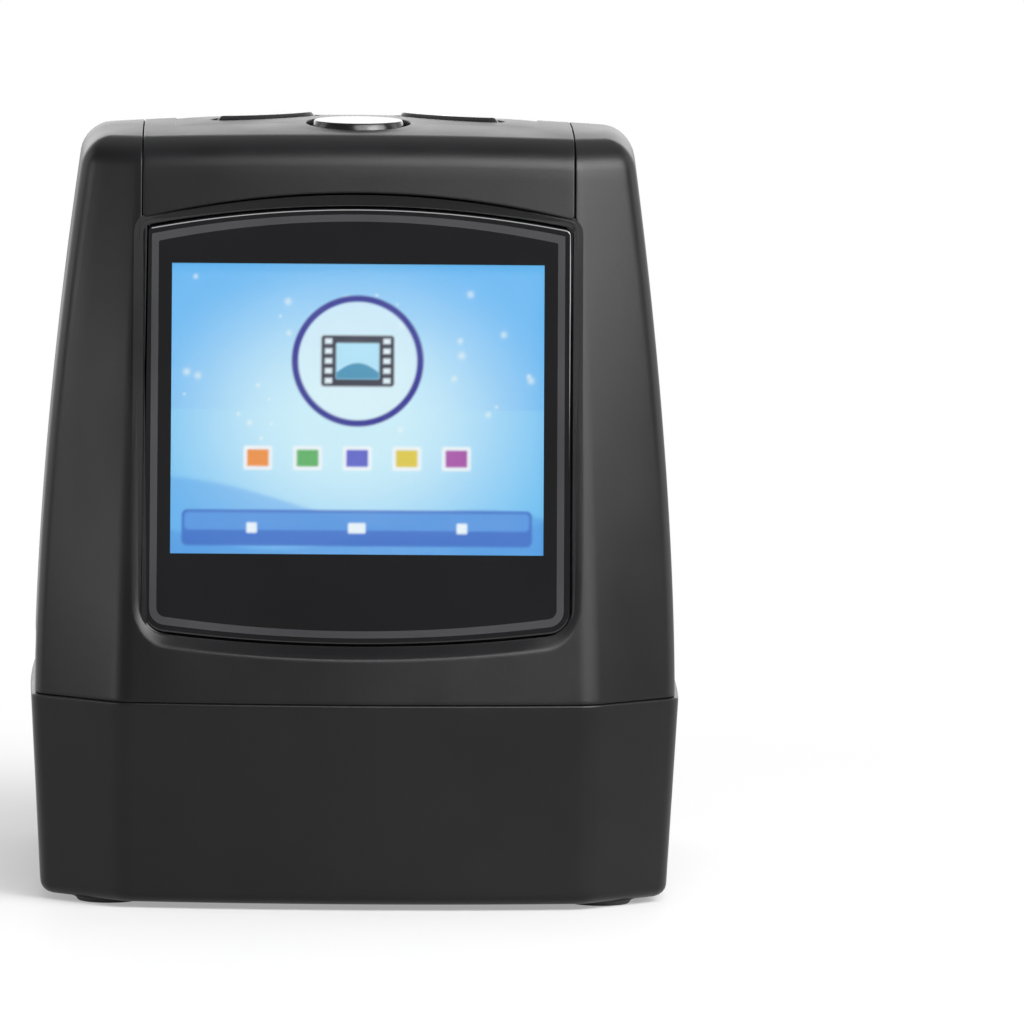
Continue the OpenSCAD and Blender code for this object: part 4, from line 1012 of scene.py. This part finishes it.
def upperInside():
    # the window's seat, the board's mounts, the cover's rails and the sleeves for the base's screws
    n, w, s = inside, windowForm, screenForm
    seat = -w["recess"] - w["thick"]
    wall = ((1.5, seat), (1.5, -2.0), (w["gap"], -2.0), (w["gap"], seat))
    rim = [[slopePoint(u, v, h) for u, v in windowOutline(g)] for g, h in wall]
    edge = (s["wide"] / 2 + 0.8, s["high"] / 2 + 0.6)
    opening = rectangleLoop(-edge[0], s["mid"] - edge[1], edge[0], s["mid"] + edge[1])
    parts = [facing(loopStack(rim)), plateSolid(windowOutline(1.5), opening, s["front"], seat)]
    for x in (-n["mountX"], n["mountX"]):
        for v in n["mountV"]:
            mount = [(n["mountR"], s["front"] + 0.3), (n["mountR"], s["back"])]
            mount += [(n["screwHole"], s["back"]), (n["screwHole"], s["back"] + 4.5)]
            parts.append(post(x, v, mount, place=slopePoint))
    for side in (-1, 1):
        x = side * coverForm["x"]
        half, rings = n["railHalf"], []
        for y in np.linspace(*n["railY"], 13):
            top = roofAt(abs(x) + half, y) - tower["wall"] - 0.02
            low = top - n["railHigh"]
            rings.append([(x - half, y, low), (x + half, y, low), (x + half, y, top), (x - half, y, top)])
        parts.append(facing(ringStack(rings)))
        foot, (thread, threadLow) = tower["seam"] + 0.1, n["sleeveThread"]
        for y, top in zip((-n["screwY"], n["screwY"]), n["sleeveTop"]):
            sleeve = [(n["sleeveR"], foot), (n["sleeveR"], top), (thread, top), (thread, threadLow)]
            sleeve += [(n["sleeveBore"], threadLow), (n["sleeveBore"], foot)]
            parts.append(post(side * n["screwX"], y, sleeve, tube=True))
    return parts


newPiece("upperShell", *joined([upperShell()] + upperInside()), looks["shellBlack"],
         replaced=["upper_housing"], slot="shell_black")
print("upper shell built")

verts, faces, kinds = windowPiece()
newPiece("screenGlass", verts, faces, [looks["windowBlack"], looks["windowBand"], looks["windowClear"]],
         replaced=["screen_window"], slot="window_black", sharpAt=50, faceMaterials=kinds)
print("window built")


def smoothStep(low, high, value):
    t = np.clip((value - low) / (high - low), 0, 1)
    return t * t * (3 - 2 * t)


def screenColours(x, y):
    # the generic start page: x and y run from 0 to 1, y upwards; linear colours
    aspect = screenForm["wide"] / screenForm["high"]
    u, v = (x - 0.5) * aspect, y - 0.5
    top, middle, low = np.array([0.13, 0.5, 0.94]), np.array([0.62, 0.9, 1.0]), np.array([0.16, 0.56, 0.95])
    share = np.clip(np.hypot(u * 0.8 + 0.02, v + 0.04) * 1.55, 0, 1)[:, None]
    colour = mixed(middle, np.where(v[:, None] > 0, top, low), smoothStep(0.15, 1.0, share))
    wave = v + 0.33 + 0.1 * np.sin(u * 3.1 + 0.6)
    lowWave = v + 0.41 - 0.07 * np.sin(u * 4.4 - 0.3)
    for line, ink, strength in ((wave, (0.07, 0.36, 0.85), 0.5), (lowWave, (0.04, 0.24, 0.72), 0.45)):
        colour = mixed(colour, np.array(ink), (strength * smoothStep(0.012, -0.012, line))[:, None])
    rng = np.random.default_rng(7)
    spots = [rng.uniform(low, high, 34) for low, high in ((-0.6, 0.6), (-0.1, 0.47), (0.004, 0.013))]
    for px, py, size in zip(*spots):
        glow = 0.6 * np.exp(-((u - px) ** 2 + (v - py) ** 2) / size ** 2)
        colour = mixed(colour, np.array([0.9, 0.98, 1.0]), glow[:, None])
    navy = np.array([0.01, 0.012, 0.3])
    soft = 0.006

    def paint(colour, distance, ink, strength=1.0):
        return mixed(colour, np.array(ink), (strength * smoothStep(soft, -soft, distance))[:, None])

    def box(cx, cy, hx, hy, r=0.0):
        dx, dy = np.abs(u - cx) - hx + r, np.abs(v - cy) - hy + r
        return np.hypot(np.maximum(dx, 0), np.maximum(dy, 0)) + np.minimum(np.maximum(dx, dy), 0) - r

    # ring with a plain film-strip sign in it
    cx, cy = 0.0, 0.17
    reach = np.hypot(u - cx, v - cy)
    colour = paint(colour, reach - 0.205, (0.75, 0.94, 1.0), 0.7)
    colour = paint(colour, np.abs(reach - 0.215) - 0.011, navy)
    colour = paint(colour, box(cx, cy, 0.125, 0.088, 0.012), (0.02, 0.025, 0.05))
    colour = paint(colour, box(cx, cy, 0.074, 0.062, 0.006), (0.45, 0.8, 0.98))
    hill = (v - cy) + 0.062 - 0.055 * np.cos((u - cx) * 16)
    colour = paint(colour, np.maximum(hill, box(cx, cy, 0.074, 0.062, 0.006)), (0.05, 0.3, 0.5))
    for k in range(-2, 3):
        for side in (-1, 1):
            colour = paint(colour, box(cx + side * 0.1, cy + k * 0.034, 0.012, 0.009, 0.003),
                           (0.8, 0.93, 1.0))
    # a row of small signs under it
    signInks = ((0.9, 0.3, 0.05), (0.1, 0.45, 0.12), (0.1, 0.12, 0.6), (0.75, 0.6, 0.04), (0.4, 0.06, 0.4))
    for k, ink in enumerate(signInks):
        px = (k - 2) * 0.17
        colour = paint(colour, box(px, -0.165, 0.05, 0.042, 0.01), (0.9, 0.96, 1.0), 0.9)
        colour = paint(colour, box(px, -0.165, 0.037, 0.029, 0.006), ink)
    # bar along the foot
    colour = paint(colour, box(0, -0.405, 0.6, 0.062, 0.02), (0.02, 0.14, 0.6), 0.9)
    colour = paint(colour, box(0, -0.383, 0.59, 0.03, 0.015), (0.12, 0.42, 0.9), 0.6)
    for k in (-1, 0, 1):
        colour = paint(colour, box(k * 0.36, -0.405, 0.018 + 0.012 * (k == 0), 0.018, 0.006),
                       (0.85, 0.95, 1.0))
    return np.clip(colour, 0, 1)


def panelMaterial():
    ends = {"Colour": "Emission Color", "Roughness": "Roughness"}
    material, tree, shader = grained("litPanel", ends, Roughness=0.3, Depth=0.0, Unevenness=0.0,
                                     Spread=0.0)
    ink = node(tree, "ShaderNodeAttribute", {"attribute_name": "panelInk"})
    effect = shader.inputs["Roughness"].links[0].from_node
    tree.links.new(ink.outputs["Color"], effect.inputs["Colour"])
    shader.inputs["Emission Strength"].default_value = 0.95
    shader.inputs["Base Color"].default_value = (0.01, 0.01, 0.012, 1)
    return material


def screenPanel():
    s = screenForm
    cells, border = (288, 226), 0.4
    lines = []
    for mid, lit, whole, count in ((0, s["wide"], s["panelWide"], cells[0]),
                                   (s["mid"], s["high"], s["panelHigh"], cells[1])):
        line = np.linspace(mid - lit / 2, mid + lit / 2, count + 1)
        ends = [mid - whole / 2, line[0] - border], [line[-1] + border, mid + whole / 2]
        lines.append(np.concatenate([ends[0], line, ends[1]]))
    flat = np.stack([grid.ravel() for grid in np.meshgrid(*lines)], 1)
    across, up = flat[:, 0] / s["wide"], (flat[:, 1] - s["mid"]) / s["high"]
    lit = np.abs(across * s["wide"]) <= s["wide"] / 2 + 0.01
    lit &= np.abs(up * s["high"]) <= s["high"] / 2 + 0.01
    colours = np.zeros((len(flat), 3)) + [0.004, 0.004, 0.005]
    colours[lit] = screenColours(across[lit] + 0.5, up[lit] + 0.5)
    wide, high = (len(line) for line in lines)
    verts = [slopePoint(u, v, s["front"]) for u, v in flat]
    starts = [j * wide + i for j in range(high - 1) for i in range(wide - 1)]
    faces = [(k, k + 1, k + wide + 1, k + wide) for k in starts]
    rim = list(range(wide)) + [(j + 1) * wide - 1 for j in range(1, high)]
    rim += [(high - 1) * wide + i for i in range(wide - 2, -1, -1)]
    rim += [j * wide for j in range(high - 2, 0, -1)]
    base = len(verts)
    verts += [slopePoint(*flat[i], s["front"] - s["thick"]) for i in rim]
    faces += [(rim[k], base + k, base + (k + 1) % len(rim), rim[(k + 1) % len(rim)])
              for k in range(len(rim))]
    faces.append(tuple(base + k for k in range(len(rim) - 1, -1, -1)))
    colours = np.vstack([colours, np.zeros((len(rim), 3)) + 0.004])
    panel = newPiece("litScreen", verts, faces, panelMaterial(), replaced=["screen_panel"],
                     slot="screen_lit", sharpAt=30)
    inks = panel.data.color_attributes.new("panelInk", "FLOAT_COLOR", "POINT")
    opaque = np.column_stack([colours, np.ones(len(colours))])
    inks.data.foreach_set("color", opaque.astype(np.float32).ravel())


screenPanel()
print("screen painted")

# buttons: a flange under the cover, sides that slant in, and a softened rim
buttonForm = {"flange": 1.0, "stemR": 1.7, "leafEdge": (0.6, 0.7), "roundEdge": (0.35, 1.1)}


def keyPiece(i):
    f = buttonForm
    low = keyIn(i) - keys["pressGap"] - f["flange"]
    x, y, _ = keyPlaces[i]
    flat = lambda g, z: np.column_stack([keyOutline(i, g), np.full(len(keyOutline(i, 0)), z)])

    def underTop(g, drop):
        ring = keyOutline(i, g)
        return np.column_stack([ring, keyTop(i, ring[:, 0], ring[:, 1]) - drop])

    inward, down = f["leafEdge"] if i < 4 else f["roundEdge"]
    grow = keys["grow"]
    high, soft = low + f["flange"], 0.1
    flange = ((grow - soft, low), (grow, low + soft), (grow, high - soft), (grow - soft, high),
              (0, high + 0.001))
    sides = ((0, down + 0.12), (-0.02, down), (-inward * 0.12, down * 0.88),
             (-inward * 0.9, down * 0.1 + 0.03), (-inward - 0.05, 0.025), (-inward - 0.16, 0),
             (-inward - 0.4, 0))
    cap = [flat(*step) for step in flange] + [underTop(*step) for step in sides]
    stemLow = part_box(keyNames[i] + "_button")[0].z / mm
    ring = lambda r, z: [(px, py, z) for px, py in circleLoop(x, y, r, 32)]
    stem = [ring(f["stemR"] - 0.2, stemLow), ring(f["stemR"], stemLow + 0.2), ring(f["stemR"], low + 0.2)]
    return joined([ringStack(cap), ringStack(stem)])


for i, name in enumerate(keyNames):
    newPiece(name + "Key", *keyPiece(i), looks["gloss"], body=name + "_key", replaced=[name + "_button"],
             slot="button_black", sharpAt=40)


def strokeSolid(line, wide, z0, z1, closed=False):
    # a flat stroke of constant width along a line of points
    line = np.asarray(line, float)
    n = len(line)
    rings = []
    for k in range(n):
        a = line[(k - 1) % n] if closed or k > 0 else line[k]
        b = line[(k + 1) % n] if closed or k < n - 1 else line[k]
        d = unit(b - a)
        side = np.array([-d[1], d[0]]) * wide / 2
        p, q = line[k] + side, line[k] - side
        rings.append([(*q, z0), (*p, z0), (*p, z1), (*q, z1)])
    verts = [p for ring in rings for p in ring]
    faces = []
    for k in range(n if closed else n - 1):
        a, b = 4 * k, 4 * ((k + 1) % n)
        faces += [(a + j, a + (j + 1) % 4, b + (j + 1) % 4, b + j) for j in range(4)]
    if not closed:
        faces += [(3, 2, 1, 0), tuple(4 * (n - 1) + j for j in range(4))]
    return facing((verts, faces))


def arcLine(x, y, r, start, end, count=24):
    return [(x + r * math.cos(math.radians(a)), y + r * math.sin(math.radians(a)))
            for a in np.linspace(start, end, count + 1)]


def polySolid(points, z0, z1):
    return ringStack([[(x, y, z0) for x, y in points], [(x, y, z1) for x, y in points]])


def onKey(i, solid):
    # lays a flat sign on a button's leaning top
    verts, faces = solid
    return [(x, y, keyTop(i, x, y) + h) for x, y, h in verts], faces


def keySigns():
    low, high = -0.1, 0.03
    x, y, _ = keyPlaces[0]
    power = [strokeSolid(arcLine(x, y, 1.2, 118, 422), 0.34, low, high),
             strokeSolid([(x, y + 0.25), (x, y + 1.7)], 0.34, low, high)]
    newPiece("powerSign", *onKey(0, joined(power)), looks["signRed"], body="power_key", sharpAt=30)
    x, y, _ = keyPlaces[1]
    bars = [strokeSolid([(x - 0.75, y + d), (x + 0.75, y + d)], 0.3, low, high) for d in (-0.6, 0, 0.6)]
    corners = [(x - 1.5, y - 1.25), (x + 1.5, y - 1.25), (x + 1.5, y + 1.25), (x - 1.5, y + 1.25)]
    border = []
    for (cx, cy), sx, sy, start in zip(corners, (-1, 1, 1, -1), (-1, -1, 1, 1), (180, 270, 0, 90)):
        for a in np.radians(np.linspace(start, start + 90, 5)):
            border.append((cx + 0.35 * math.cos(a) - 0.35 * sx, cy + 0.35 * math.sin(a) - 0.35 * sy))
    bars.append(strokeSolid(border, 0.26, low, high, closed=True))
    newPiece("menuSign", *onKey(1, joined(bars)), looks["signGreen"], body="menu_key", sharpAt=30)
    for i, side in ((2, -1), (3, 1)):
        x, y, _ = keyPlaces[i]
        arrow = [(x + side * 1.2, y), (x - side * 0.85, y + side * 1.1), (x - side * 0.85, y - side * 1.1)]
        newPiece(keyNames[i] + "Sign", *onKey(i, polySolid(arrow, low, high)), looks["signWhite"],
                 body=keyNames[i] + "_key", sharpAt=30)


def cardSign():
    # a plain card with a cut corner, printed on the rear under the slot
    low, high, half, top = 63.4, 68.2, 1.7, 1.1
    line = [(-half, low), (half, low), (half, high), (top - half, high), (-half, high - top)]
    marks = [strokeSolid(line, 0.28, -0.1, 0.03, closed=True),
             strokeSolid([(-0.7, 66.6), (0.7, 66.6)], 0.26, -0.1, 0.03)]
    verts, faces = joined(marks)
    newPiece("cardSign", [(-u, backAt(v) + h, v) for u, v, h in verts], faces, looks["signWhite"],
             sharpAt=30)


keySigns()
cardSign()
print("buttons built")

# what repeats: screws, feet, contacts, chip legs and switch plates grow on points by Geometry Nodes
def growTree(name, inputs):
    # a tree with its sizes; every one also takes the points, the unit's turn and its finish
    ends = [("Turn", "Vector", (0, 0, 0)), ("Finish", "Material", None)]
    shapes = {float: "Float", int: "Int", tuple: "Vector"}
    sizes = [(label, shapes[type(value)], value) for label, value in inputs.items()]
    return nodeGroup(name, "GeometryNodeTree", [("Geometry", "Geometry", None)] + sizes + ends,
                     [("Geometry", "Geometry")])


def mesh(tree, kind, **sizes):
    return node(tree, "GeometryNodeMesh" + kind, **sizes).outputs["Mesh"]


def vector(tree, x, y, z):
    return node(tree, "ShaderNodeCombineXYZ", X=x, Y=y, Z=z).outputs[0]


def lifted(tree, geometry, height):
    return node(tree, "GeometryNodeTransform", Geometry=geometry,
                Translation=vector(tree, 0, 0, height)).outputs[0]


def cutOut(tree, solid, tool):
    ways = {"operation": "DIFFERENCE", "solver": "EXACT"}
    return node(tree, "GeometryNodeMeshBoolean", ways, i0=solid, i1=tool).outputs["Mesh"]


def together(tree, *parts):
    made = tree.nodes.new("GeometryNodeJoinGeometry")
    for part in parts:
        tree.links.new(part, made.inputs[0])
    return made.outputs[0]


def repeated(tree, points, unit, **more):
    return node(tree, "GeometryNodeInstanceOnPoints", Points=points, Instance=unit, **more).outputs[0]


def onPoints(tree, given, unit, result):
    # the unit on every point, turned, made real and given its finish
    placed = repeated(tree, given["Geometry"], unit, Rotation=given["Turn"])
    real = node(tree, "GeometryNodeRealizeInstances", Geometry=placed).outputs[0]
    done = node(tree, "GeometryNodeSetMaterial", Geometry=real, Material=given["Finish"])
    tree.links.new(done.outputs[0], result[0])
    return tree


def screwTree():
    # a cross-headed screw whose head ends at the point and whose thread runs on behind it
    sizes = {"Shaft Radius": 0.00085, "Shaft Length": 0.0056, "Head Radius": 0.0017, "Head Height": 0.0012,
             "Pitch": 0.0006}
    tree, g, result = growTree("screwForm", sizes)
    by = lambda label, share: calc(tree, g[label], share)
    # shares of the sizes above
    core, recess, crossLong, crossWide, ridgeHigh = 0.8, -1.0, 1.15, 0.26, 0.6
    head = mesh(tree, "Cone", Vertices=28, Radius_Top=g["Head Radius"],
                Radius_Bottom=by("Head Radius", core), Depth=g["Head Height"])
    long, narrow = by("Head Radius", crossLong), by("Head Radius", crossWide)
    bars = [mesh(tree, "Cube", Size=vector(tree, *size, g["Head Height"]))
            for size in ((long, narrow), (narrow, long))]
    low = by("Head Height", recess)
    cut = cutOut(tree, lifted(tree, head, low), lifted(tree, together(tree, *bars), low))
    shaft = mesh(tree, "Cylinder", Vertices=20, Radius=by("Shaft Radius", core), Depth=g["Shaft Length"])
    turns = calc(tree, calc(tree, g["Shaft Length"], g["Pitch"], "DIVIDE"), 1.0, "SUBTRACT")
    line = mesh(tree, "Line", Count=turns, Start_Location=vector(tree, 0, 0, by("Pitch", 0.5)),
                Offset=vector(tree, 0, 0, g["Pitch"]))
    ridge = mesh(tree, "Cone", Vertices=20, Radius_Top=g["Shaft Radius"],
                 Radius_Bottom=by("Shaft Radius", core), Depth=by("Pitch", ridgeHigh))
    screw = together(tree, cut, lifted(tree, shaft, by("Shaft Length", 0.5)), repeated(tree, line, ridge))
    return onPoints(tree, g, screw, result)


def footTree():
    # a round rubber foot with standing rings on its underside
    tree, g, result = growTree("footForm", {"Radius": 0.0045, "Height": 0.0018, "Ring": 0.00025,
                                            "Rings": 4})
    chamfer = 0.0004
    inner = calc(tree, g["Radius"], chamfer, "SUBTRACT")
    low = mesh(tree, "Cone", Vertices=48, Radius_Top=g["Radius"], Radius_Bottom=inner, Depth=chamfer)
    step = calc(tree, g["Ring"], chamfer, "ADD")
    body = mesh(tree, "Cylinder", Vertices=48, Radius=g["Radius"],
                Depth=calc(tree, g["Height"], step, "SUBTRACT"))
    body = lifted(tree, body, calc(tree, calc(tree, g["Height"], step, "ADD"), 0.5))
    circle = lambda count, radius: node(tree, "GeometryNodeCurvePrimitiveCircle", Resolution=count,
                                        Radius=radius).outputs["Curve"]
    ridge = node(tree, "GeometryNodeCurveToMesh", Profile_Curve=circle(10, g["Ring"]),
                 Curve=circle(48, calc(tree, inner, g["Ring"], "SUBTRACT"))).outputs[0]
    line = mesh(tree, "Line", Count=g["Rings"], Start_Location=vector(tree, 0, 0, g["Ring"]),
                Offset=(0, 0, 0))
    index = node(tree, "GeometryNodeInputIndex").outputs[0]
    share = calc(tree, calc(tree, index, 1.0, "ADD"), g["Rings"], "DIVIDE")
    ridges = repeated(tree, line, ridge, Scale=vector(tree, share, share, 1.0))
    return onPoints(tree, g, together(tree, lifted(tree, low, g["Ring"]), body, ridges), result)


def rowTree():
    # a straight row of small blocks, centred on each point
    tree, g, result = growTree("rowForm", {"Count": 5, "Pitch": 0.0008, "Block": (0.0004, 0.004, 0.0002)})
    start = calc(tree, calc(tree, calc(tree, g["Count"], 1.0, "SUBTRACT"), g["Pitch"]), -0.5)
    line = mesh(tree, "Line", Count=g["Count"], Start_Location=vector(tree, start, 0, 0),
                Offset=vector(tree, g["Pitch"], 0, 0))
    return onPoints(tree, g, repeated(tree, line, mesh(tree, "Cube", Size=g["Block"])), result)


def plateTree():
    # a switch's metal cover: a thin plate with a round hole and four rivets
    sizes = {"Width": 0.0058, "Thickness": 0.0002, "Hole": 0.0019, "Rivet": 0.0004}
    tree, g, result = growTree("switchPlateForm", sizes)
    sheet = mesh(tree, "Cube", Size=vector(tree, g["Width"], g["Width"], g["Thickness"]))
    cut = cutOut(tree, sheet, mesh(tree, "Cylinder", Vertices=32, Radius=g["Hole"], Depth=0.002))
    span = calc(tree, g["Width"], 0.76)
    corners = mesh(tree, "Grid", Size_X=span, Size_Y=span, Vertices_X=2, Vertices_Y=2)
    rivet = mesh(tree, "Cylinder", Vertices=16, Radius=g["Rivet"], Depth=calc(tree, g["Thickness"], 2.0))
    both = together(tree, cut, repeated(tree, corners, rivet))
    return onPoints(tree, g, lifted(tree, both, calc(tree, g["Thickness"], 0.5)), result)


def grown(name, tree, spots, look, replaced=(), slot=None, body="housing", **sizes):
    # spots in millimetres; the tree's result becomes a plain mesh
    points = bpy.data.meshes.new(name)
    points.from_pydata([tuple(float(c) * mm for c in spot) for spot in spots], [], [])
    piece = bpy.data.objects.new(name, points)
    scene.collection.objects.link(piece)
    modifier = piece.modifiers.new("form", "NODES")
    modifier.node_group = tree
    values = dict(sizes, Finish=looks[look])
    for item in tree.interface.items_tree:
        key = item.name.replace(" ", "_")
        if item.in_out == "INPUT" and key in values:
            modifier[item.identifier] = values[key]
    made = bpy.data.meshes.new_from_object(piece.evaluated_get(bpy.context.evaluated_depsgraph_get()))
    piece.modifiers.clear()
    piece.data = made
    made.polygons.foreach_set("use_smooth", np.ones(len(made.polygons), bool))
    made.set_sharp_from_angle(angle=math.radians(35))
    return mounted(piece, body, replaced)


down = (math.pi, 0.0, 0.0)
screwForm = screwTree()
slopeTurn = (math.pi / 2 - tilt, 0.0, 0.0)
mountX, bossX = inside["mountX"], inside["bossX"]
mainSpots = [slopePoint(x, v, -12.0) for x in (-mountX, mountX) for v in inside["mountV"]]
keySpots = [(x, y, 92.6) for x in (-bossX, bossX) for y in inside["bossY"]]
screwSets = {   # spots, turn, thread length; the base's long ones are thicker
    "mainBoardScrews": (mainSpots, slopeTurn, 5.6, "main_board_screws"),
    "keyBoardScrews": (keySpots, (0.0, 0.0, 0.0), 5.2, "key_board_screws"),
    "chassisScrews": (fourWays(*baseInside["ear"][:2], 29.4), down, 11.0, "chassis_screws"),
    "sensorScrews": (fourWays(12.6, 12.6, 76.2), down, 5.6, "sensor_screws"),
    "backlightScrews": (fourWays(*baseInside["lampPost"][:2], 11.6), down, 5.6, "backlight_screws"),
    "socketScrews": ([(x, y, 7.65) for x, y in baseInside["socketPosts"]], down, 4.6, "socket_screws")}
for name, (spots, turn, length, stands) in screwSets.items():
    grown(name, screwForm, spots, "screwSteel", [stands], "screw_steel", Turn=turn,
          Shaft_Length=length * mm)
longSpots = [(x, y, baseInside["boreTop"]) for x, y in screwSpots]
grown("baseScrews", screwForm, longSpots, "screwSteel", ["base_screws"], "screw_steel",
      Shaft_Length=18.0 * mm, Shaft_Radius=1.45 * mm, Head_Radius=2.7 * mm, Head_Height=2.0 * mm,
      Pitch=1.1 * mm)
grown("rubberFeet", footTree(), [(x, y, 0) for x, y in footSpots], "footRubber", ["rubber_feet"],
      "foot_rubber")
rowForm = rowTree()
chipRows = [slopePoint(0, v, -12.13) for v in (35.0, 51.4)]
blockRows = {   # spots, turn, count, pitch and block
    "usbContacts": ([(0, 36.2, 10.4)], (0.0, 0.0, 0.0), 5, 0.8, (0.42, 6.0, 0.14)),
    "chipLegs": (chipRows, slopeTurn, 18, 0.8, (0.3, 0.9, 0.25)),
    "cardContacts": ([(0, 6.0, 92.1)], (0.0, 0.0, 0.0), 9, 2.5, (1.1, 5.0, 0.2))}
for name, (spots, turn, count, pitch, block) in blockRows.items():
    grown(name, rowForm, spots, "screwSteel", slot="screw_steel", Turn=turn, Count=count, Pitch=pitch * mm,
          Block=tuple(c * mm for c in block))
grown("switchPlates", plateTree(), [(x, y, 96.2) for x, y, _ in keyPlaces], "screwSteel",
      slot="screw_steel")
print("repeated pieces grown")

# finishes of the CAD nodes that stay in sight or inside
nodeLooks = {
    "innerBlack": "screen_holder card_socket optics_chassis lens_holder lens_barrel film_tray",
    "boardGreen": "main_board key_board sensor_board socket_board",
    "chipBlack": "main_chips key_switches image_sensor usb_tongue av_jack",
    "clearPlastic": "status_lamp light_guide", "socketSteel": "card_shield usb_socket",
    "lensGlass": "front_lens rear_lens", "opalPlastic": "diffuser backlight_lamps",
    "whitePlastic": "reflector_box backlight_board", "ribbonAmber": "sensor_ribbon socket_ribbon key_ribbon"}
nodeLooks = {name: look for look, names in nodeLooks.items() for name in names.split()}
nodeLooks.update({name + "_plunger": "innerBlack" for name in keyNames})
for name, look in nodeLooks.items():
    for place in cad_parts[name].material_slots:
        place.material = looks[look]
print("nodes finished:", len(nodeLooks))


# floor, backdrop and lights
def stageMaterial(name, colour, roughness):
    # a pale surface that turns white to the camera and to mirrors with the distance from the object
    ends = {"Colour": "Base Color", "Roughness": "Roughness"}
    material, tree, shader = grained(name, ends, Colour=(*colour, 1), Roughness=roughness, Grain=400.0,
                                     Depth=0.0, Unevenness=0.0, Spread=0.0)
    shader.inputs["Specular IOR Level"].default_value = 0.2
    place = node(tree, "ShaderNodeTexCoord").outputs["Object"]
    far = node(tree, "ShaderNodeVectorMath", {"operation": "LENGTH"}, i0=place).outputs["Value"]
    share = node(tree, "ShaderNodeMapRange", {"interpolation_type": "SMOOTHSTEP"}, Value=far, From_Min=0.05,
                 From_Max=0.2, To_Min=0.35, To_Max=1.0).outputs["Result"]
    rays = node(tree, "ShaderNodeLightPath").outputs
    mirrored = calc(tree, rays["Is Glossy Ray"], rays["Is Transmission Ray"], "MAXIMUM")
    seen = calc(tree, rays["Is Camera Ray"], mirrored, "MAXIMUM")
    glow = node(tree, "ShaderNodeEmission", Strength=1.0).outputs[0]
    both = node(tree, "ShaderNodeMixShader", i0=calc(tree, seen, share), i1=shader.outputs[0], i2=glow)
    tree.links.new(both.outputs[0], tree.nodes["Material Output"].inputs["Surface"])
    return material


def makeStage():
    reach = 6.0
    mesh = bpy.data.meshes.new("floor")
    mesh.from_pydata([(-reach, -reach, 0), (reach, -reach, 0), (reach, reach, 0), (-reach, reach, 0)], [],
                     [(0, 1, 2, 3)])
    mesh.materials.append(stageMaterial("floorWhite", (0.5, 0.5, 0.5), 0.6))
    floor = bpy.data.objects.new("floor", mesh)
    scene.collection.objects.link(floor)


makeStage()
studio = {"front": 0.2, "back": 1.05, "turnLow": -0.2, "turnHigh": 0.75, "overhead": 0.35, "riseLow": 0.3,
          "riseHigh": 0.75}


def makeWorld(s):
    # pale behind the object, dim before and above it; plain white where the camera sees it
    world = bpy.data.worlds.new("studio")
    scene.world = world
    world.use_nodes = True
    tree = world.node_tree
    direct = node(tree, "ShaderNodeTexCoord").outputs["Generated"]
    parts = node(tree, "ShaderNodeSeparateXYZ", i0=direct).outputs
    ramps = (("Y", s["turnLow"], s["turnHigh"], s["front"], s["back"]),
             ("Z", s["riseLow"], s["riseHigh"], 1.0, s["overhead"]))
    levels = [node(tree, "ShaderNodeMapRange", {"interpolation_type": "SMOOTHSTEP"}, Value=parts[axis],
                   From_Min=low, From_Max=high, To_Min=start, To_Max=end).outputs["Result"]
              for axis, low, high, start, end in ramps]
    seen = node(tree, "ShaderNodeLightPath").outputs["Is Camera Ray"]
    pick = node(tree, "ShaderNodeMix", {"data_type": "FLOAT"}, Factor=seen, i2=calc(tree, *levels), i3=1.0)
    background = tree.nodes["Background"]
    tree.links.new(pick.outputs[0], background.inputs["Strength"])
    background.inputs["Color"].default_value = (1, 1, 1, 1)


makeWorld(studio)


def softBox(name, place, aim, size, power):
    data = bpy.data.lights.new(name, "AREA")
    data.shape, data.size, data.size_y, data.energy = "RECTANGLE", size[0], size[1], power
    lamp = bpy.data.objects.new(name, data)
    lamp.location = place
    lamp.rotation_euler = (Vector(aim) - Vector(place)).to_track_quat("-Z", "Y").to_euler()
    scene.collection.objects.link(lamp)


softBoxes = {   # place, aim, size in metres, power
    "overhead": ((0.0, 0.25, 1.0), (0, 0, 0.05), (1.2, 0.8), 1.8),
    "key": ((0.54, -0.46, 0.44), (0, 0, 0.07), (0.6, 0.46), 11.0),
    "frontHigh": ((0.26, -0.62, 0.6), (0, 0, 0.08), (0.8, 0.4), 10.0),
    "leftFill": ((-0.8, -0.3, 0.26), (0, 0, 0.07), (0.3, 0.3), 1.8),
    "backGlow": ((0.0, 1.3, 0.42), (0, 0, 0.1), (1.8, 0.5), 4.0),
    "leftStrip": ((-0.9, 0.3, 0.35), (0, 0, 0.05), (0.3, 0.9), 1.5),
    "rightStrip": ((0.9, 0.3, 0.35), (0, 0, 0.05), (0.3, 0.9), 1.5)}
for name, settings in softBoxes.items():
    softBox(name, *settings)

scene.view_settings.view_transform = "Standard"
print("all pieces ready")
